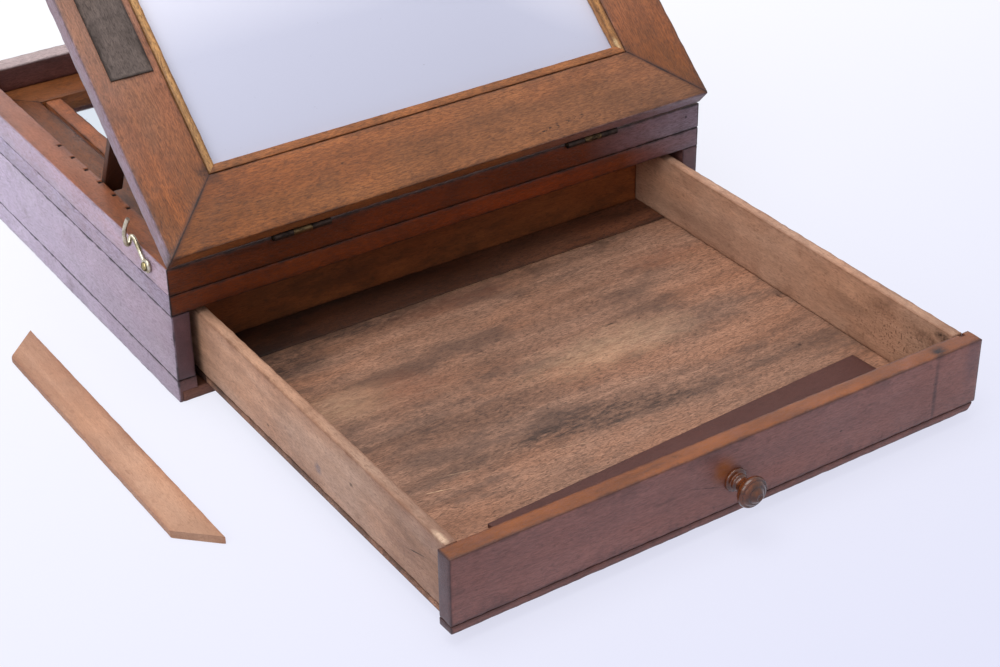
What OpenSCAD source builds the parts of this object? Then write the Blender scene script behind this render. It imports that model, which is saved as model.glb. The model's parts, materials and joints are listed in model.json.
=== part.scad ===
// Table-top easel: a shallow case with a drawer, a tray with a mirror in its floor, and a glazed
// lid that tilts up on front hinges and stands on two folding prop legs.
// The origin is the centre of the case's underside. +Z is up, and the drawer opens toward -Y.

/* [Case] */
// Width of the case, left to right
box_w = 400; // [350:1:480]
// Depth of the case, front to back
box_d = 340; // [300:1:410]
// Height of the plinth layer
plinth_h = 16; // [14:0.5:22]
// Thickness of the base board
base_t = 8; // [5:0.5:9]
// Thickness of the plinth's outer lip that hides the base board's edge
plinth_lip = 2.4; // [1.5:0.1:4]
// Height of the drawer layer, between the plinth and the mirror frame
case_h = 46; // [40:1:60]
// Thickness of the case sides
side_t = 12.5; // [9:0.5:18]
// Thickness of the case back, and of the plinth behind the drawer
back_t = 8; // [6:0.5:12]
// How far the plinth reaches in past the case sides, to guide the drawer
guide_w = 4.5; // [2:0.5:5]

/* [Mirror frame and tray] */
// Thickness of the mirror frame
mirror_frame_t = 14; // [11:0.5:20]
// Width of the mirror frame's members
mirror_frame_w = 45; // [36:1:60]
// Width of the rebate that holds the mirror
mirror_rebate = 6; // [4:0.5:9]
// Depth of the mirror's face below the frame's top
mirror_sunk = 6; // [5:0.5:8]
// Thickness of the mirror
mirror_t = 3; // [2:0.5:4]
// Thickness of the mirror's backing board
backing_t = 4; // [2:0.5:5]
// Width of the fillets that lie along the mirror's sides
mirror_fillet_w = 12; // [8:0.5:16]
// Thickness of the fillets that lie along the mirror's sides
mirror_fillet_t = 5.5; // [3:0.5:6]
// Distance of those fillets from the frame
mirror_fillet_in = 3; // [1:0.5:8]
// Height of the tray walls above the mirror frame
tray_h = 18; // [16:0.5:24]
// Thickness of the tray's side and front walls
tray_wall_t = 17.5; // [14:0.5:20]
// Thickness of the tray's back wall
tray_back_t = 16; // [12:0.5:20]

/* [Lid] */
// Angle that the lid stands open
lid_angle = 40.6; // [33:0.1:49]
// Thickness of the lid's frame
lid_t = 14; // [13.5:0.5:18]
// Width of the lid's stiles and rails
lid_frame_w = 45; // [40:1:56]
// Width of the light beads round the opening
bead_w = 5.5; // [3:0.5:8]
// Depth of those beads
bead_h = 6; // [4:0.5:7]
// Thickness of the opal glass
glass_t = 3; // [2:0.5:3]
// Width of the glazing rebate
glass_rebate = 8.5; // [6:0.5:10]
// Width of the glazing fillets behind the glass
fillet_w = 23; // [18:0.5:28]
// Distance of the abrasive strip from the lid's front edge
abrasive_u = 118; // [60:1:130]
// Length of the abrasive strip
abrasive_l = 110; // [80:1:130]
// Width of the abrasive strip
abrasive_w = 28; // [20:1:30]
// Thickness of the abrasive strip
abrasive_t = 1; // [0.6:0.1:2]
// Distance of the abrasive strip from the lid's outer edge
abrasive_in = 11.8; // [8:0.2:12]

/* [Hinges] */
// Length of each lid hinge
hinge_l = 40; // [30:1:50]
// Distance from the case's side to a lid hinge's centre
hinge_in = 91; // [70:1:120]
// Width of a hinge leaf
leaf_w = 13; // [11:0.5:15]
// Thickness of a hinge leaf
leaf_t = 1.2; // [1:0.1:1.6]
// Radius of a hinge knuckle
knuckle_r = 2.3; // [2.1:0.1:2.6]
// Radius of the hinge pins
pin_r = 1; // [0.8:0.05:1.2]
// Distance of the hinge axis in front of the case
pin_out = 0.8; // [0.4:0.1:1.5]

/* [Prop legs] */
// Width of a prop leg
prop_w = 13.5; // [11:0.5:16]
// Thickness of a prop leg
prop_t = 5; // [4:0.5:6]
// Distance from the lid hinge's axis to a prop's pivot
prop_pivot_u = 119; // [100:1:135]
// Depth of the prop's pivot below the lid's underside
prop_drop = 3; // [2.8:0.1:4]
// Length of a prop leg past its foot pin
prop_tail = 11; // [6:0.5:11]
// Radius of the foot pins
foot_pin_r = 1.5; // [1:0.1:1.8]
// Length of the plate that carries a prop's pivot
plate_l = 24; // [20:1:30]
// Distance from the front of the case to the first nick in the tray walls
nick_first = 85; // [75:1:95]
// Distance from one nick to the next
nick_pitch = 21; // [18:1:24]
// How many nicks each side wall has
nick_count = 6; // [4:1:7]
// The nick that the props stand at, counted from the front
rest_nick = 3; // [2:1:4]
// Width of a nick's sloping faces
nick_w = 3; // [2:0.5:4]
// Depth of a nick into the wall
nick_in = 3.5; // [2:0.5:5]

/* [Drawer] */
// How far the drawer stands open
drawer_out = 287; // [150:1:300]
// Thickness of the drawer front
front_t = 12; // [9:0.5:16]
// Height of the strip along the front's lower edge
strip_h = 5; // [4:0.5:7]
// Thickness of the drawer's sides and back
drawer_t = 8; // [6:0.5:10]
// Thickness of the drawer's floor boards
floor_t = 5; // [4:0.5:6]
// Depth of the floor board at the back, the rest being one wide board
back_board_d = 40; // [25:1:80]
// How far the front reaches past each drawer side
front_over = 5; // [4:0.5:7]
// Drop of the drawer's sides below the front's top edge
side_drop = 0.2; // [0:0.1:3]
// Drop of the drawer's back below the sides' top edge
back_drop = 3; // [0:0.5:10]
// Clearance between the closed drawer's back and the case back
drawer_tail_gap = 4; // [1:0.5:10]
// Distance from the drawer's left side to the loose strip's end
loose_left = 44; // [5:1:80]
// Distance from the drawer's right side to the loose strip's end
loose_right = 15; // [5:1:60]
// Distance from the drawer front to the loose strip, at its left end
loose_front = 9; // [1:0.1:60]
// Width of that strip
loose_w = 40; // [20:1:45]
// Thickness of that strip
loose_t = 3; // [1.5:0.5:4]
// Turn of that strip on the drawer's floor
loose_turn = 3.3; // [0:0.1:4]

/* [Knob] */
// Distance of the knob to the left of the drawer's middle
knob_left = 0; // [0:0.5:20]
// Height of the knob above the drawer front's lower edge
knob_up = 24; // [20:0.5:30]
// Radius of the knob's base flange
knob_base_r = 7.5; // [6:0.25:10]
// Radius of the knob's neck
knob_neck_r = 4; // [3:0.25:5]
// Radius of the knob's head
knob_head_r = 8.75; // [7:0.25:12]
// How far the knob stands out
knob_l = 24; // [20:0.5:30]
// Radius of the knob's spigot
spigot_r = 4; // [3:0.25:5]

/* [Hook] */
// Radius of the hook's wire
wire_r = 1.15; // [0.9:0.05:1.4]
// Radius of the hook's eye, to the wire's middle
eye_r = 3.3; // [3.2:0.1:4]
// Length of the hook's straight shank
shank_l = 18; // [14:0.5:24]
// Rise of the hook's shank from level
hook_angle = 24; // [0:1:60]
// Distance of the hook's screw behind the case's front
hook_y = 25; // [18:0.5:40]
// Depth of the hook's screw below the tray wall's top
hook_sunk = 7.8; // [6:0.1:10]

/* [Loose fillet] */
// Distance of the loose fillet's long edge from the case's left side
fillet_out = 43; // [25:1:90]
// Place of the loose fillet's middle behind the case's front
fillet_y = -8; // [-60:1:60]
// Turn of the loose fillet on the table
fillet_turn = 0.5; // [-5:0.1:5]

/* [Clearances] */
// Gap between faces that move past each other
gap = 0.3; // [0.2:0.05:0.5]
// Gap all round a pin or a screw in its hole
pin_gap = 0.05; // [0.02:0.01:0.08]
// Gap between the drawer front and the case sides
drawer_side_gap = 1; // [0.5:0.1:2]
// Gap under the drawer
drawer_under_gap = 0.5; // [0.3:0.1:1]
// Gap over the drawer front
drawer_over_gap = 4.3; // [1:0.1:6]
// Gap round the mirror, the glass and what holds them
glass_gap = 0.25; // [0.1:0.05:0.5]
// Gap between a prop leg and the tray wall beside it
prop_side_gap = 0.4; // [0.3:0.1:1]

/* [Hidden] */
$fn = 48;
cut = 1;

// Wood, metal and glass colours
MAHOGANY = [0.50, 0.29, 0.17];
MAHOGANY_DARK = [0.40, 0.25, 0.20];
MAHOGANY_WORN = [0.45, 0.34, 0.33];
PINE = [0.68, 0.54, 0.41];
PINE_STAINED = [0.50, 0.38, 0.27];
BOXWOOD = [0.76, 0.57, 0.33];
FILLET_WOOD = [0.84, 0.66, 0.49];
AMBER = [0.50, 0.28, 0.12];
BRASS = [0.72, 0.62, 0.38];
IRON = [0.20, 0.17, 0.15];
STEEL = [0.55, 0.55, 0.55];
OPAL = [0.90, 0.92, 0.95];
SILVER = [0.80, 0.86, 0.90];
EMERY = [0.33, 0.30, 0.28];
DARK_CARD = [0.30, 0.19, 0.17];

// Rectangle [left, right, front, back], and the same one drawn in by some amount
function rect(w, d, cy = 0) = [-w / 2, w / 2, cy - d / 2, cy + d / 2];
function inset(r, by) = [r[0] + by, r[1] - by, r[2] + by, r[3] - by];

// Heights of the case's layers
z_case = plinth_h;
z_mirror_frame = z_case + case_h;
z_tray = z_mirror_frame + mirror_frame_t;
z_top = z_tray + tray_h;
case_rect = rect(box_w, box_d);
front_y = case_rect[2];
back_y = case_rect[3];
right_x = case_rect[1];

// Mirror and its frame
mirror_opening = inset(case_rect, mirror_frame_w);
mirror_seat = inset(mirror_opening, -mirror_rebate);
z_mirror_face = z_tray - mirror_sunk;
z_mirror_under = z_mirror_face - mirror_t;

// Inner edge of the tray walls
tray_inner = [case_rect[0] + tray_wall_t, case_rect[1] - tray_wall_t,
    case_rect[2] + tray_wall_t, case_rect[3] - tray_back_t];

// Lid hinge axis, halfway through the gap between the lid and the case, and the lid's own frame:
// u runs back from the axis and v up from it when the lid is shut
axis_y = front_y - pin_out;
axis_z = z_top + gap / 2;
lid_v = gap / 2;
lid_rect = rect(box_w, box_d, pin_out + box_d / 2);
lid_opening = inset(lid_rect, lid_frame_w);
bead_opening = inset(lid_opening, bead_w);
glass_seat = inset(lid_opening, -glass_rebate);
glass_top_v = lid_v + lid_t - bead_h;
glass_v = glass_top_v - glass_t;
fillet_t = glass_v - lid_v;
fillet_opening = inset(glass_seat, fillet_w);
hinge_x = box_w / 2 - hinge_in;
knuckle_l = hinge_l / 3;
leaf_start = knuckle_r + gap;

// Wood screws: radius of the shank, radius and height of the countersunk head, and length
screw_r = 1.3;
screw_head_r = 2.4;
screw_head_h = 1.6;
screw_l = 9;
screw_slot = 0.5;
leaf_screw_u = (leaf_start + leaf_w) / 2;
leaf_screw_pitch = hinge_l / 3;

// Prop legs: where the pivot is when the lid stands open, and how far it is to the foot pin
prop_x = right_x - tray_wall_t - prop_side_gap - prop_w / 2;
prop_v = lid_v - prop_drop;
pivot_y = axis_y + prop_pivot_u * cos(lid_angle) - prop_v * sin(lid_angle);
pivot_z = axis_z + prop_pivot_u * sin(lid_angle) + prop_v * cos(lid_angle);
nick_depth = nick_w / sqrt(2);
foot_y = front_y + nick_first + (rest_nick - 1) * nick_pitch;
foot_z = z_top - nick_depth + foot_pin_r * sqrt(2);
prop_reach = norm([foot_y - pivot_y, foot_z - pivot_z]);
prop_fold = lid_angle - atan2(foot_z - pivot_z, foot_y - pivot_y);
lug_t = 3.4;
lug_r = 2.3;
plate_t = 1.2;
plate_screw_u = plate_l / 2 - 3.6;
slot_reach = norm([lug_r, prop_drop]) + gap;

// Drawer, measured from the front's face
drawer_y = front_y - drawer_out;
drawer_z = base_t + drawer_under_gap;
front_w = box_w - 2 * (side_t + drawer_side_gap);
drawer_l = box_d - back_t - drawer_tail_gap;
drawer_w = front_w - 2 * front_over;
drawer_floor_z = drawer_z + floor_t;
drawer_top_z = z_mirror_frame - drawer_over_gap;
board_gap = 0.3;
front_board_d = drawer_l - front_t - back_board_d - board_gap;
knob_x = -knob_left;
knob_z = drawer_z + knob_up;

// Hook and its screw
hook_x = -right_x - gap - wire_r;
hook_z = z_top - hook_sunk;
hook_neck_r = eye_r - wire_r - gap;
hook_head_r = eye_r + wire_r - 0.4;
hook_head_h = 2.6;
hook_screw_l = 12;
hook_slot_w = 0.8;
hook_slot_d = 1;

// Hook's path past the shank: [along the shank, across it, out from the case]
HOOK_BEND = [[0, 0, 0], [1.6, -0.5, 0.8], [2.6, -1.8, 2], [2.8, -3.3, 3.4], [2, -4, 5],
    [1.2, -3, 6.3], [0.8, -1, 7], [0.8, 2, 7.4], [1, 5, 7.4], [1.4, 8, 7], [2, 11, 6.2], [2.8, 13.6, 5]];

// A box between two corners
module block(low, high) {
    translate(low) cube(high - low);
}

// One side of a mitred ring between the rectangles o and i
function mitre_outline(side, o, i) =
    side == "front" ? [[o[0], o[2]], [o[1], o[2]], [i[1], i[2]], [i[0], i[2]]] :
    side == "back" ? [[o[0], o[3]], [i[0], i[3]], [i[1], i[3]], [o[1], o[3]]] :
    side == "left" ? [[o[0], o[2]], [i[0], i[2]], [i[0], i[3]], [o[0], o[3]]] :
    [[o[1], o[2]], [o[1], o[3]], [i[1], i[3]], [i[1], i[2]]];

module mitred(side, o, i, z, h) {
    translate([0, 0, z]) linear_extrude(h) polygon(mitre_outline(side, o, i));
}

// A flat panel that fills a rectangle
module panel(r, z, h) {
    block([r[0], r[2], z], [r[1], r[3], z + h]);
}

// Places its children in the lid's frame, with the lid standing open
module on_lid() {
    translate([0, axis_y, axis_z]) rotate([lid_angle, 0, 0]) children();
}

// Places its children at both lid hinges
module at_hinges() {
    for (side = [-1, 1]) translate([side * hinge_x, 0, 0]) children();
}

// Places its children in a prop leg's frame: +Y runs from the pivot down to the foot
module on_prop(side) {
    on_lid() translate([side * prop_x, prop_pivot_u, prop_v]) rotate([-prop_fold, 0, 0]) children();
}

// A cylinder of length l centred on the origin, along X
module rod_x(l, r) {
    translate([-l / 2, 0, 0]) rotate([0, 90, 0]) cylinder(h = l, r = r);
}

// Directions along a path of points, and a cross direction carried along it without twist
function unit(v) = v / norm(v);
function along(path) = let (last = len(path) - 1)
    [for (i = [0:last]) unit(path[min(i + 1, last)] - path[max(i - 1, 0)])];
function across(dirs, start, i = 0) =
    i == len(dirs) ? [] :
    let (n = unit(start - (start * dirs[i]) * dirs[i])) concat([n], across(dirs, n, i + 1));

// A round tube of radius r along a path
module tube(path, r, sides = 12) {
    dirs = along(path);
    crosses = across(dirs, [1, 0, 0]);
    rings = len(path);
    points = [for (i = [0:rings - 1]) for (k = [0:sides - 1])
        let (a = k * 360 / sides)
        path[i] + r * (cos(a) * crosses[i] + sin(a) * cross(dirs[i], crosses[i]))];
    walls = [for (i = [0:rings - 2]) for (k = [0:sides - 1])
        let (a = i * sides + k, b = i * sides + (k + 1) % sides)
        each [[a, a + sides, b + sides], [a, b + sides, b]]];
    caps = [[for (k = [0:sides - 1]) k], [for (k = [0:sides - 1]) rings * sides - 1 - k]];
    polyhedron(points, concat(walls, caps));
}

// A countersunk wood screw that points down, its head flush with z = 0
module wood_screw(l = screw_l) {
    difference() {
        union() {
            translate([0, 0, -screw_head_h])
                cylinder(h = screw_head_h, r1 = screw_r, r2 = screw_head_r, $fn = 32);
            translate([0, 0, -l]) cylinder(h = l - screw_head_h, r = screw_r, $fn = 32);
        }
        block([-screw_head_r - cut, -screw_slot / 2, -screw_slot], [screw_head_r + cut, screw_slot / 2, cut]);
    }
}

// The hole that a wood screw needs
module wood_screw_hole(l = screw_l) {
    translate([0, 0, -screw_head_h])
        cylinder(h = screw_head_h, r1 = screw_r + pin_gap, r2 = screw_head_r + pin_gap, $fn = 32);
    translate([0, 0, -l - pin_gap]) cylinder(h = l, r = screw_r + pin_gap, $fn = 32);
    cylinder(h = cut, r = screw_head_r + pin_gap, $fn = 32);
}

// Places its children at a hinge leaf's screws
module at_leaf_screws() {
    at_hinges() for (i = [-1:1]) translate([i * leaf_screw_pitch, leaf_screw_u, 0]) children();
}

// Screws of the lower leaves point down from the wall's top, those of the upper leaves up into the lid
module at_lower_screws() {
    translate([0, axis_y, z_top]) at_leaf_screws() children();
}
module at_upper_screws() {
    on_lid() translate([0, 0, lid_v]) at_leaf_screws() mirror([0, 0, 1]) children();
}
module at_plate_screws() {
    on_lid() for (side = [-1, 1]) for (end = [-1, 1])
        translate([side * prop_x, prop_pivot_u + end * plate_screw_u, lid_v]) mirror([0, 0, 1]) children();
}

// ---- Case ----

module base_board() {
    color(MAHOGANY_DARK)
        block([case_rect[0] + plinth_lip, front_y, 0], [right_x - plinth_lip, back_y - plinth_lip, base_t]);
}

// Plinth side: a lip over the base board's edge and a guide for the drawer, cut back for its front
module plinth_side() {
    difference() {
        block([-right_x, front_y, 0], [-right_x + side_t + guide_w, back_y - back_t, plinth_h]);
        block([-right_x + plinth_lip, front_y - cut, -cut], [0, back_y, base_t]);
        block([-right_x + side_t, front_y - cut, 0], [0, front_y + front_t + gap, plinth_h + cut]);
    }
}
module plinth_left() {
    color(MAHOGANY_WORN) plinth_side();
}
module plinth_right() {
    color(MAHOGANY_WORN) mirror([1, 0, 0]) plinth_side();
}
module plinth_back() {
    color(MAHOGANY_WORN) difference() {
        block([-right_x, back_y - back_t, 0], [right_x, back_y, plinth_h]);
        block([-right_x + plinth_lip, back_y - back_t - cut, -cut],
            [right_x - plinth_lip, back_y - plinth_lip, base_t]);
    }
}

module case_side() {
    block([-right_x, front_y, z_case], [-right_x + side_t, back_y, z_mirror_frame]);
}
module case_side_left() {
    color(MAHOGANY_WORN) case_side();
}
module case_side_right() {
    color(MAHOGANY_WORN) mirror([1, 0, 0]) case_side();
}
module case_back() {
    color(MAHOGANY_WORN)
        block([-right_x + side_t, back_y - back_t, z_case], [right_x - side_t, back_y, z_mirror_frame]);
}

// ---- Mirror frame ----

module mirror_frame_member(side) {
    color(MAHOGANY) difference() {
        mitred(side, case_rect, mirror_opening, z_mirror_frame, mirror_frame_t);
        panel(mirror_seat, z_mirror_frame - cut, z_mirror_face - z_mirror_frame + cut);
    }
}
module mirror_frame_front() {
    mirror_frame_member("front");
}
module mirror_frame_back() {
    mirror_frame_member("back");
}
module mirror_frame_left() {
    mirror_frame_member("left");
}
module mirror_frame_right() {
    mirror_frame_member("right");
}
module mirror_glass() {
    color(SILVER) panel(inset(mirror_seat, glass_gap), z_mirror_under, mirror_t);
}
module mirror_backing() {
    color(PINE) panel(inset(mirror_seat, glass_gap), z_mirror_under - backing_t, backing_t);
}
module mirror_fillet(side) {
    outer = side * (mirror_opening[1] - mirror_fillet_in);
    inner = outer - side * mirror_fillet_w;
    color(MAHOGANY) block([min(outer, inner), mirror_opening[2] + gap, z_mirror_face],
        [max(outer, inner), mirror_opening[3] - gap, z_mirror_face + mirror_fillet_t]);
}
module mirror_fillet_left() {
    mirror_fillet(-1);
}
module mirror_fillet_right() {
    mirror_fillet(1);
}

// ---- Tray walls ----

// Slanting nicks in the inner top edges of both side walls, where the props' foot pins can stand
module nicks() {
    nick_x = right_x - tray_wall_t + nick_in / 2;
    for (side = [-1, 1]) for (i = [0:nick_count - 1])
        translate([side * nick_x, front_y + nick_first + i * nick_pitch, z_top])
            rotate([45, 0, 0]) cube([nick_in + gap, nick_w, nick_w], center = true);
}
module tray_wall(side) {
    color(MAHOGANY) difference() {
        mitred(side, case_rect, tray_inner, z_tray, tray_h);
        children();
    }
}
module tray_wall_front() {
    tray_wall("front") {
        translate([0, axis_y, axis_z]) at_hinges() rod_x(hinge_l + 2 * gap, knuckle_r + gap);
        at_hinges() block([-hinge_l / 2, front_y - cut, z_top - leaf_t],
            [hinge_l / 2, axis_y + leaf_w, z_top + cut]);
        at_lower_screws() wood_screw_hole();
    }
}
module tray_wall_back() {
    tray_wall("back");
}
module tray_wall_left() {
    tray_wall("left") {
        nicks();
        translate([-right_x, front_y + hook_y, hook_z])
            rod_x(2 * (hook_screw_l + pin_gap), hook_neck_r + pin_gap);
    }
}
module tray_wall_right() {
    tray_wall("right") nicks();
}

// ---- Lid hinges ----

// Lower leaves: let into the front wall's top, with the two end knuckles
module hinge_leaves_lower() {
    color(IRON) difference() {
        translate([0, axis_y, axis_z]) at_hinges() {
            block([-hinge_l / 2, leaf_start, -gap / 2 - leaf_t], [hinge_l / 2, leaf_w, -gap / 2]);
            for (end = [-1, 1]) translate([end * (hinge_l - knuckle_l) / 2, 0, 0]) {
                rod_x(knuckle_l - gap, knuckle_r);
                block([(gap - knuckle_l) / 2, 0, -gap / 2 - leaf_t],
                    [(knuckle_l - gap) / 2, leaf_start, -gap / 2]);
            }
        }
        translate([0, axis_y, axis_z]) at_hinges() rod_x(hinge_l + cut, pin_r + pin_gap);
        at_lower_screws() wood_screw_hole();
    }
}
// Upper leaves: let into the lid's underside, with the middle knuckle
module hinge_leaves_upper() {
    color(IRON) difference() {
        on_lid() at_hinges() {
            block([-hinge_l / 2, leaf_start, lid_v], [hinge_l / 2, leaf_w, lid_v + leaf_t]);
            rod_x(knuckle_l - gap, knuckle_r);
            block([(gap - knuckle_l) / 2, 0, lid_v], [(knuckle_l - gap) / 2, leaf_start, lid_v + leaf_t]);
        }
        on_lid() at_hinges() rod_x(hinge_l + cut, pin_r + pin_gap);
        at_upper_screws() wood_screw_hole();
    }
}
module hinge_pins() {
    color(BRASS) translate([0, axis_y, axis_z]) at_hinges() rod_x(hinge_l, pin_r);
}
module hinge_screws_lower() {
    color(IRON) at_lower_screws() wood_screw();
}
module hinge_screws_upper() {
    color(IRON) at_upper_screws() wood_screw();
}

// ---- Lid ----

// One member of the lid's frame, less its children
module lid_member(side) {
    color(MAHOGANY) difference() {
        on_lid() mitred(side, lid_rect, lid_opening, lid_v, lid_t);
        on_lid() panel(glass_seat, lid_v - cut, glass_top_v - lid_v + cut);
        children();
    }
}
module plate_seats() {
    on_lid() for (side = [-1, 1]) translate([side * prop_x, prop_pivot_u, 0])
        block([-prop_w / 2, -plate_l / 2, lid_v - cut], [prop_w / 2, plate_l / 2, lid_v + plate_t]);
    at_plate_screws() wood_screw_hole();
}
module lid_rail_front() {
    lid_member("front") {
        on_lid() at_hinges() rod_x(hinge_l + 2 * gap, knuckle_r + gap);
        on_lid() at_hinges() block([-hinge_l / 2, -cut, lid_v - cut], [hinge_l / 2, leaf_w, lid_v + leaf_t]);
        at_upper_screws() wood_screw_hole();
    }
}
module lid_rail_back() {
    lid_member("back");
}
module lid_stile_left() {
    lid_member("left") plate_seats();
}
module lid_stile_right() {
    lid_member("right") plate_seats();
}
module lid_bead(side) {
    color(BOXWOOD) on_lid() mitred(side, lid_opening, bead_opening, glass_top_v, bead_h);
}
module lid_bead_front() {
    lid_bead("front");
}
module lid_bead_back() {
    lid_bead("back");
}
module lid_bead_left() {
    lid_bead("left");
}
module lid_bead_right() {
    lid_bead("right");
}
module opal_glass() {
    color(OPAL) on_lid() panel(inset(glass_seat, glass_gap), glass_v, glass_t);
}
module lid_fillet(side) {
    color(FILLET_WOOD) on_lid() mitred(side, glass_seat, fillet_opening, lid_v, fillet_t);
}
module lid_fillet_front() {
    lid_fillet("front");
}
module lid_fillet_back() {
    lid_fillet("back");
}
module lid_fillet_right() {
    lid_fillet("right");
}
module abrasive_strip() {
    color(EMERY) on_lid() translate([-right_x + abrasive_in, pin_out + abrasive_u, lid_v + lid_t])
        cube([abrasive_w, abrasive_l, abrasive_t]);
}

// ---- Prop legs ----

// Plates let into the lid's underside, each with a lug that hangs down to the prop's pivot
module prop_plates() {
    color(IRON) difference() {
        on_lid() for (side = [-1, 1]) translate([side * prop_x, prop_pivot_u, 0]) {
            block([-prop_w / 2, -plate_l / 2, lid_v], [prop_w / 2, plate_l / 2, lid_v + plate_t]);
            block([-lug_t / 2, -lug_r, prop_v], [lug_t / 2, lug_r, lid_v]);
            translate([0, 0, prop_v]) rod_x(lug_t, lug_r);
        }
        on_lid() for (side = [-1, 1]) translate([side * prop_x, prop_pivot_u, prop_v])
            rod_x(prop_w, pin_r + pin_gap);
        at_plate_screws() wood_screw_hole();
    }
}
module prop_plate_screws() {
    color(IRON) at_plate_screws() wood_screw();
}
module prop_leg(side) {
    color(MAHOGANY_DARK) on_prop(side) difference() {
        union() {
            block([-prop_w / 2, 0, -prop_t / 2], [prop_w / 2, prop_reach + prop_tail, prop_t / 2]);
            rod_x(prop_w, prop_t / 2);
        }
        block([-lug_t / 2 - gap, -prop_t, -prop_t], [lug_t / 2 + gap, slot_reach, prop_t]);
        rod_x(prop_w + cut, pin_r + pin_gap);
        translate([0, prop_reach, 0]) rod_x(prop_w + cut, foot_pin_r + pin_gap);
    }
}
module prop_leg_left() {
    prop_leg(-1);
}
module prop_leg_right() {
    prop_leg(1);
}
module prop_pivot_pin(side) {
    color(STEEL) on_prop(side) rod_x(prop_w, pin_r);
}
module prop_pivot_pin_left() {
    prop_pivot_pin(-1);
}
module prop_pivot_pin_right() {
    prop_pivot_pin(1);
}
// Foot pins are cut flush with the leg, so that the legs can fold past the tray walls
module prop_foot_pin(side) {
    color(STEEL) on_prop(side) translate([0, prop_reach, 0]) rod_x(prop_w, foot_pin_r);
}
module prop_foot_pin_left() {
    prop_foot_pin(-1);
}
module prop_foot_pin_right() {
    prop_foot_pin(1);
}

// ---- Hook ----

module at_hook() {
    translate([hook_x, front_y + hook_y, hook_z]) children();
}
// Brass wire hook: an eye, a shank and a bent arm
module hook() {
    bend = [for (p = HOOK_BEND) [-p[2], eye_r + shank_l + p[0], p[1]]];
    color(BRASS) at_hook() rotate([hook_angle, 0, 0]) {
        rotate([0, 90, 0]) rotate_extrude() translate([eye_r, 0]) circle(r = wire_r, $fn = 24);
        tube(concat([[0, eye_r, 0]], bend), wire_r);
    }
}
// Round-headed slotted screw that the hook turns on
module hook_screw() {
    head_x = -wire_r - gap;
    dome_r = (hook_head_r ^ 2 + hook_head_h ^ 2) / (2 * hook_head_h);
    color(BRASS) at_hook() difference() {
        union() {
            translate([head_x, 0, 0]) rotate([0, 90, 0])
                cylinder(h = hook_screw_l - 2 * head_x, r = hook_neck_r);
            intersection() {
                translate([head_x - hook_head_h + dome_r, 0, 0]) sphere(r = dome_r);
                translate([head_x - hook_head_h, 0, 0]) rotate([0, 90, 0])
                    cylinder(h = hook_head_h, r = hook_head_r);
            }
        }
        translate([head_x - hook_head_h, 0, 0]) rotate([hook_angle, 0, 0])
            cube([2 * hook_slot_d, 2 * hook_head_r + cut, hook_slot_w], center = true);
    }
}

// ---- Drawer ----

module drawer_front() {
    color(MAHOGANY_WORN) difference() {
        block([-front_w / 2, drawer_y, drawer_z + strip_h], [front_w / 2, drawer_y + front_t, drawer_top_z]);
        translate([knob_x, drawer_y, knob_z]) rotate([90, 0, 0])
            cylinder(h = 2 * front_t + cut, r = spigot_r + pin_gap, center = true);
    }
}
module drawer_front_strip() {
    color(MAHOGANY_DARK)
        block([-front_w / 2, drawer_y, drawer_z], [front_w / 2, drawer_y + front_t, drawer_z + strip_h]);
}
module drawer_side(side) {
    outer = side * drawer_w / 2;
    inner = outer - side * drawer_t;
    color(PINE) block([min(outer, inner), drawer_y + front_t, drawer_floor_z],
        [max(outer, inner), drawer_y + drawer_l, drawer_top_z - side_drop]);
}
module drawer_side_left() {
    drawer_side(-1);
}
module drawer_side_right() {
    drawer_side(1);
}
module drawer_back() {
    color(PINE) block([-drawer_w / 2 + drawer_t, drawer_y + drawer_l - drawer_t, drawer_floor_z],
        [drawer_w / 2 - drawer_t, drawer_y + drawer_l, drawer_top_z - side_drop - back_drop]);
}
// Floor boards run across the drawer, nailed up under its sides
module drawer_floor() {
    color(PINE_STAINED) {
        translate([-drawer_w / 2, drawer_y + front_t, drawer_z]) cube([drawer_w, front_board_d, floor_t]);
        translate([-drawer_w / 2, drawer_y + drawer_l - back_board_d, drawer_z])
            cube([drawer_w, back_board_d, floor_t]);
    }
}
// Turned knob: a flange, a beaded neck and a ringed head, on a spigot through the front
module knob() {
    head_y = knob_l - knob_head_r * 0.75;
    profile = concat(
        [[0, -front_t], [spigot_r, -front_t], [spigot_r, 0], [knob_base_r - 0.8, 0]],
        [for (a = [-60:30:60]) [knob_base_r - 0.8 + 0.8 * cos(a), 1.4 + 1.4 * sin(a)]],
        [[knob_base_r - 1.6, 3.2], [knob_neck_r + 0.8, 3.8], [knob_neck_r + 1.6, 4.6],
            [knob_neck_r + 1.6, 5.4], [knob_neck_r + 0.6, 6.2], [knob_neck_r, 7.6], [knob_neck_r, 9.4],
            [knob_neck_r + 1, head_y - knob_head_r * 0.62]],
        [for (a = [-45:15:60]) [knob_head_r * cos(a), head_y + knob_head_r * 0.62 * sin(a)]],
        [[knob_head_r * 0.46, head_y + knob_head_r * 0.5], [knob_head_r * 0.42, knob_l - 1],
            [knob_head_r * 0.3, knob_l - 0.2], [knob_head_r * 0.16, knob_l],
            [knob_head_r * 0.1, knob_l - 0.8], [0, knob_l - 1]]);
    color(AMBER) translate([knob_x, drawer_y, knob_z]) rotate([90, 0, 0]) rotate_extrude() polygon(profile);
}
// Dark strip that lies loose on the drawer's floor, close to the front
module loose_strip() {
    loose_l = (drawer_w - 2 * drawer_t - loose_left - loose_right) / cos(loose_turn);
    corner_x = drawer_w / 2 - drawer_t - loose_right;
    corner_y = drawer_y + front_t + loose_front + loose_w * cos(loose_turn) + loose_l * sin(loose_turn);
    color(DARK_CARD) translate([corner_x, corner_y, drawer_floor_z]) rotate([0, 0, loose_turn])
        translate([-loose_l, -loose_w, 0]) cube([loose_l, loose_w, loose_t]);
}

// ---- Loose fillet ----

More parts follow.
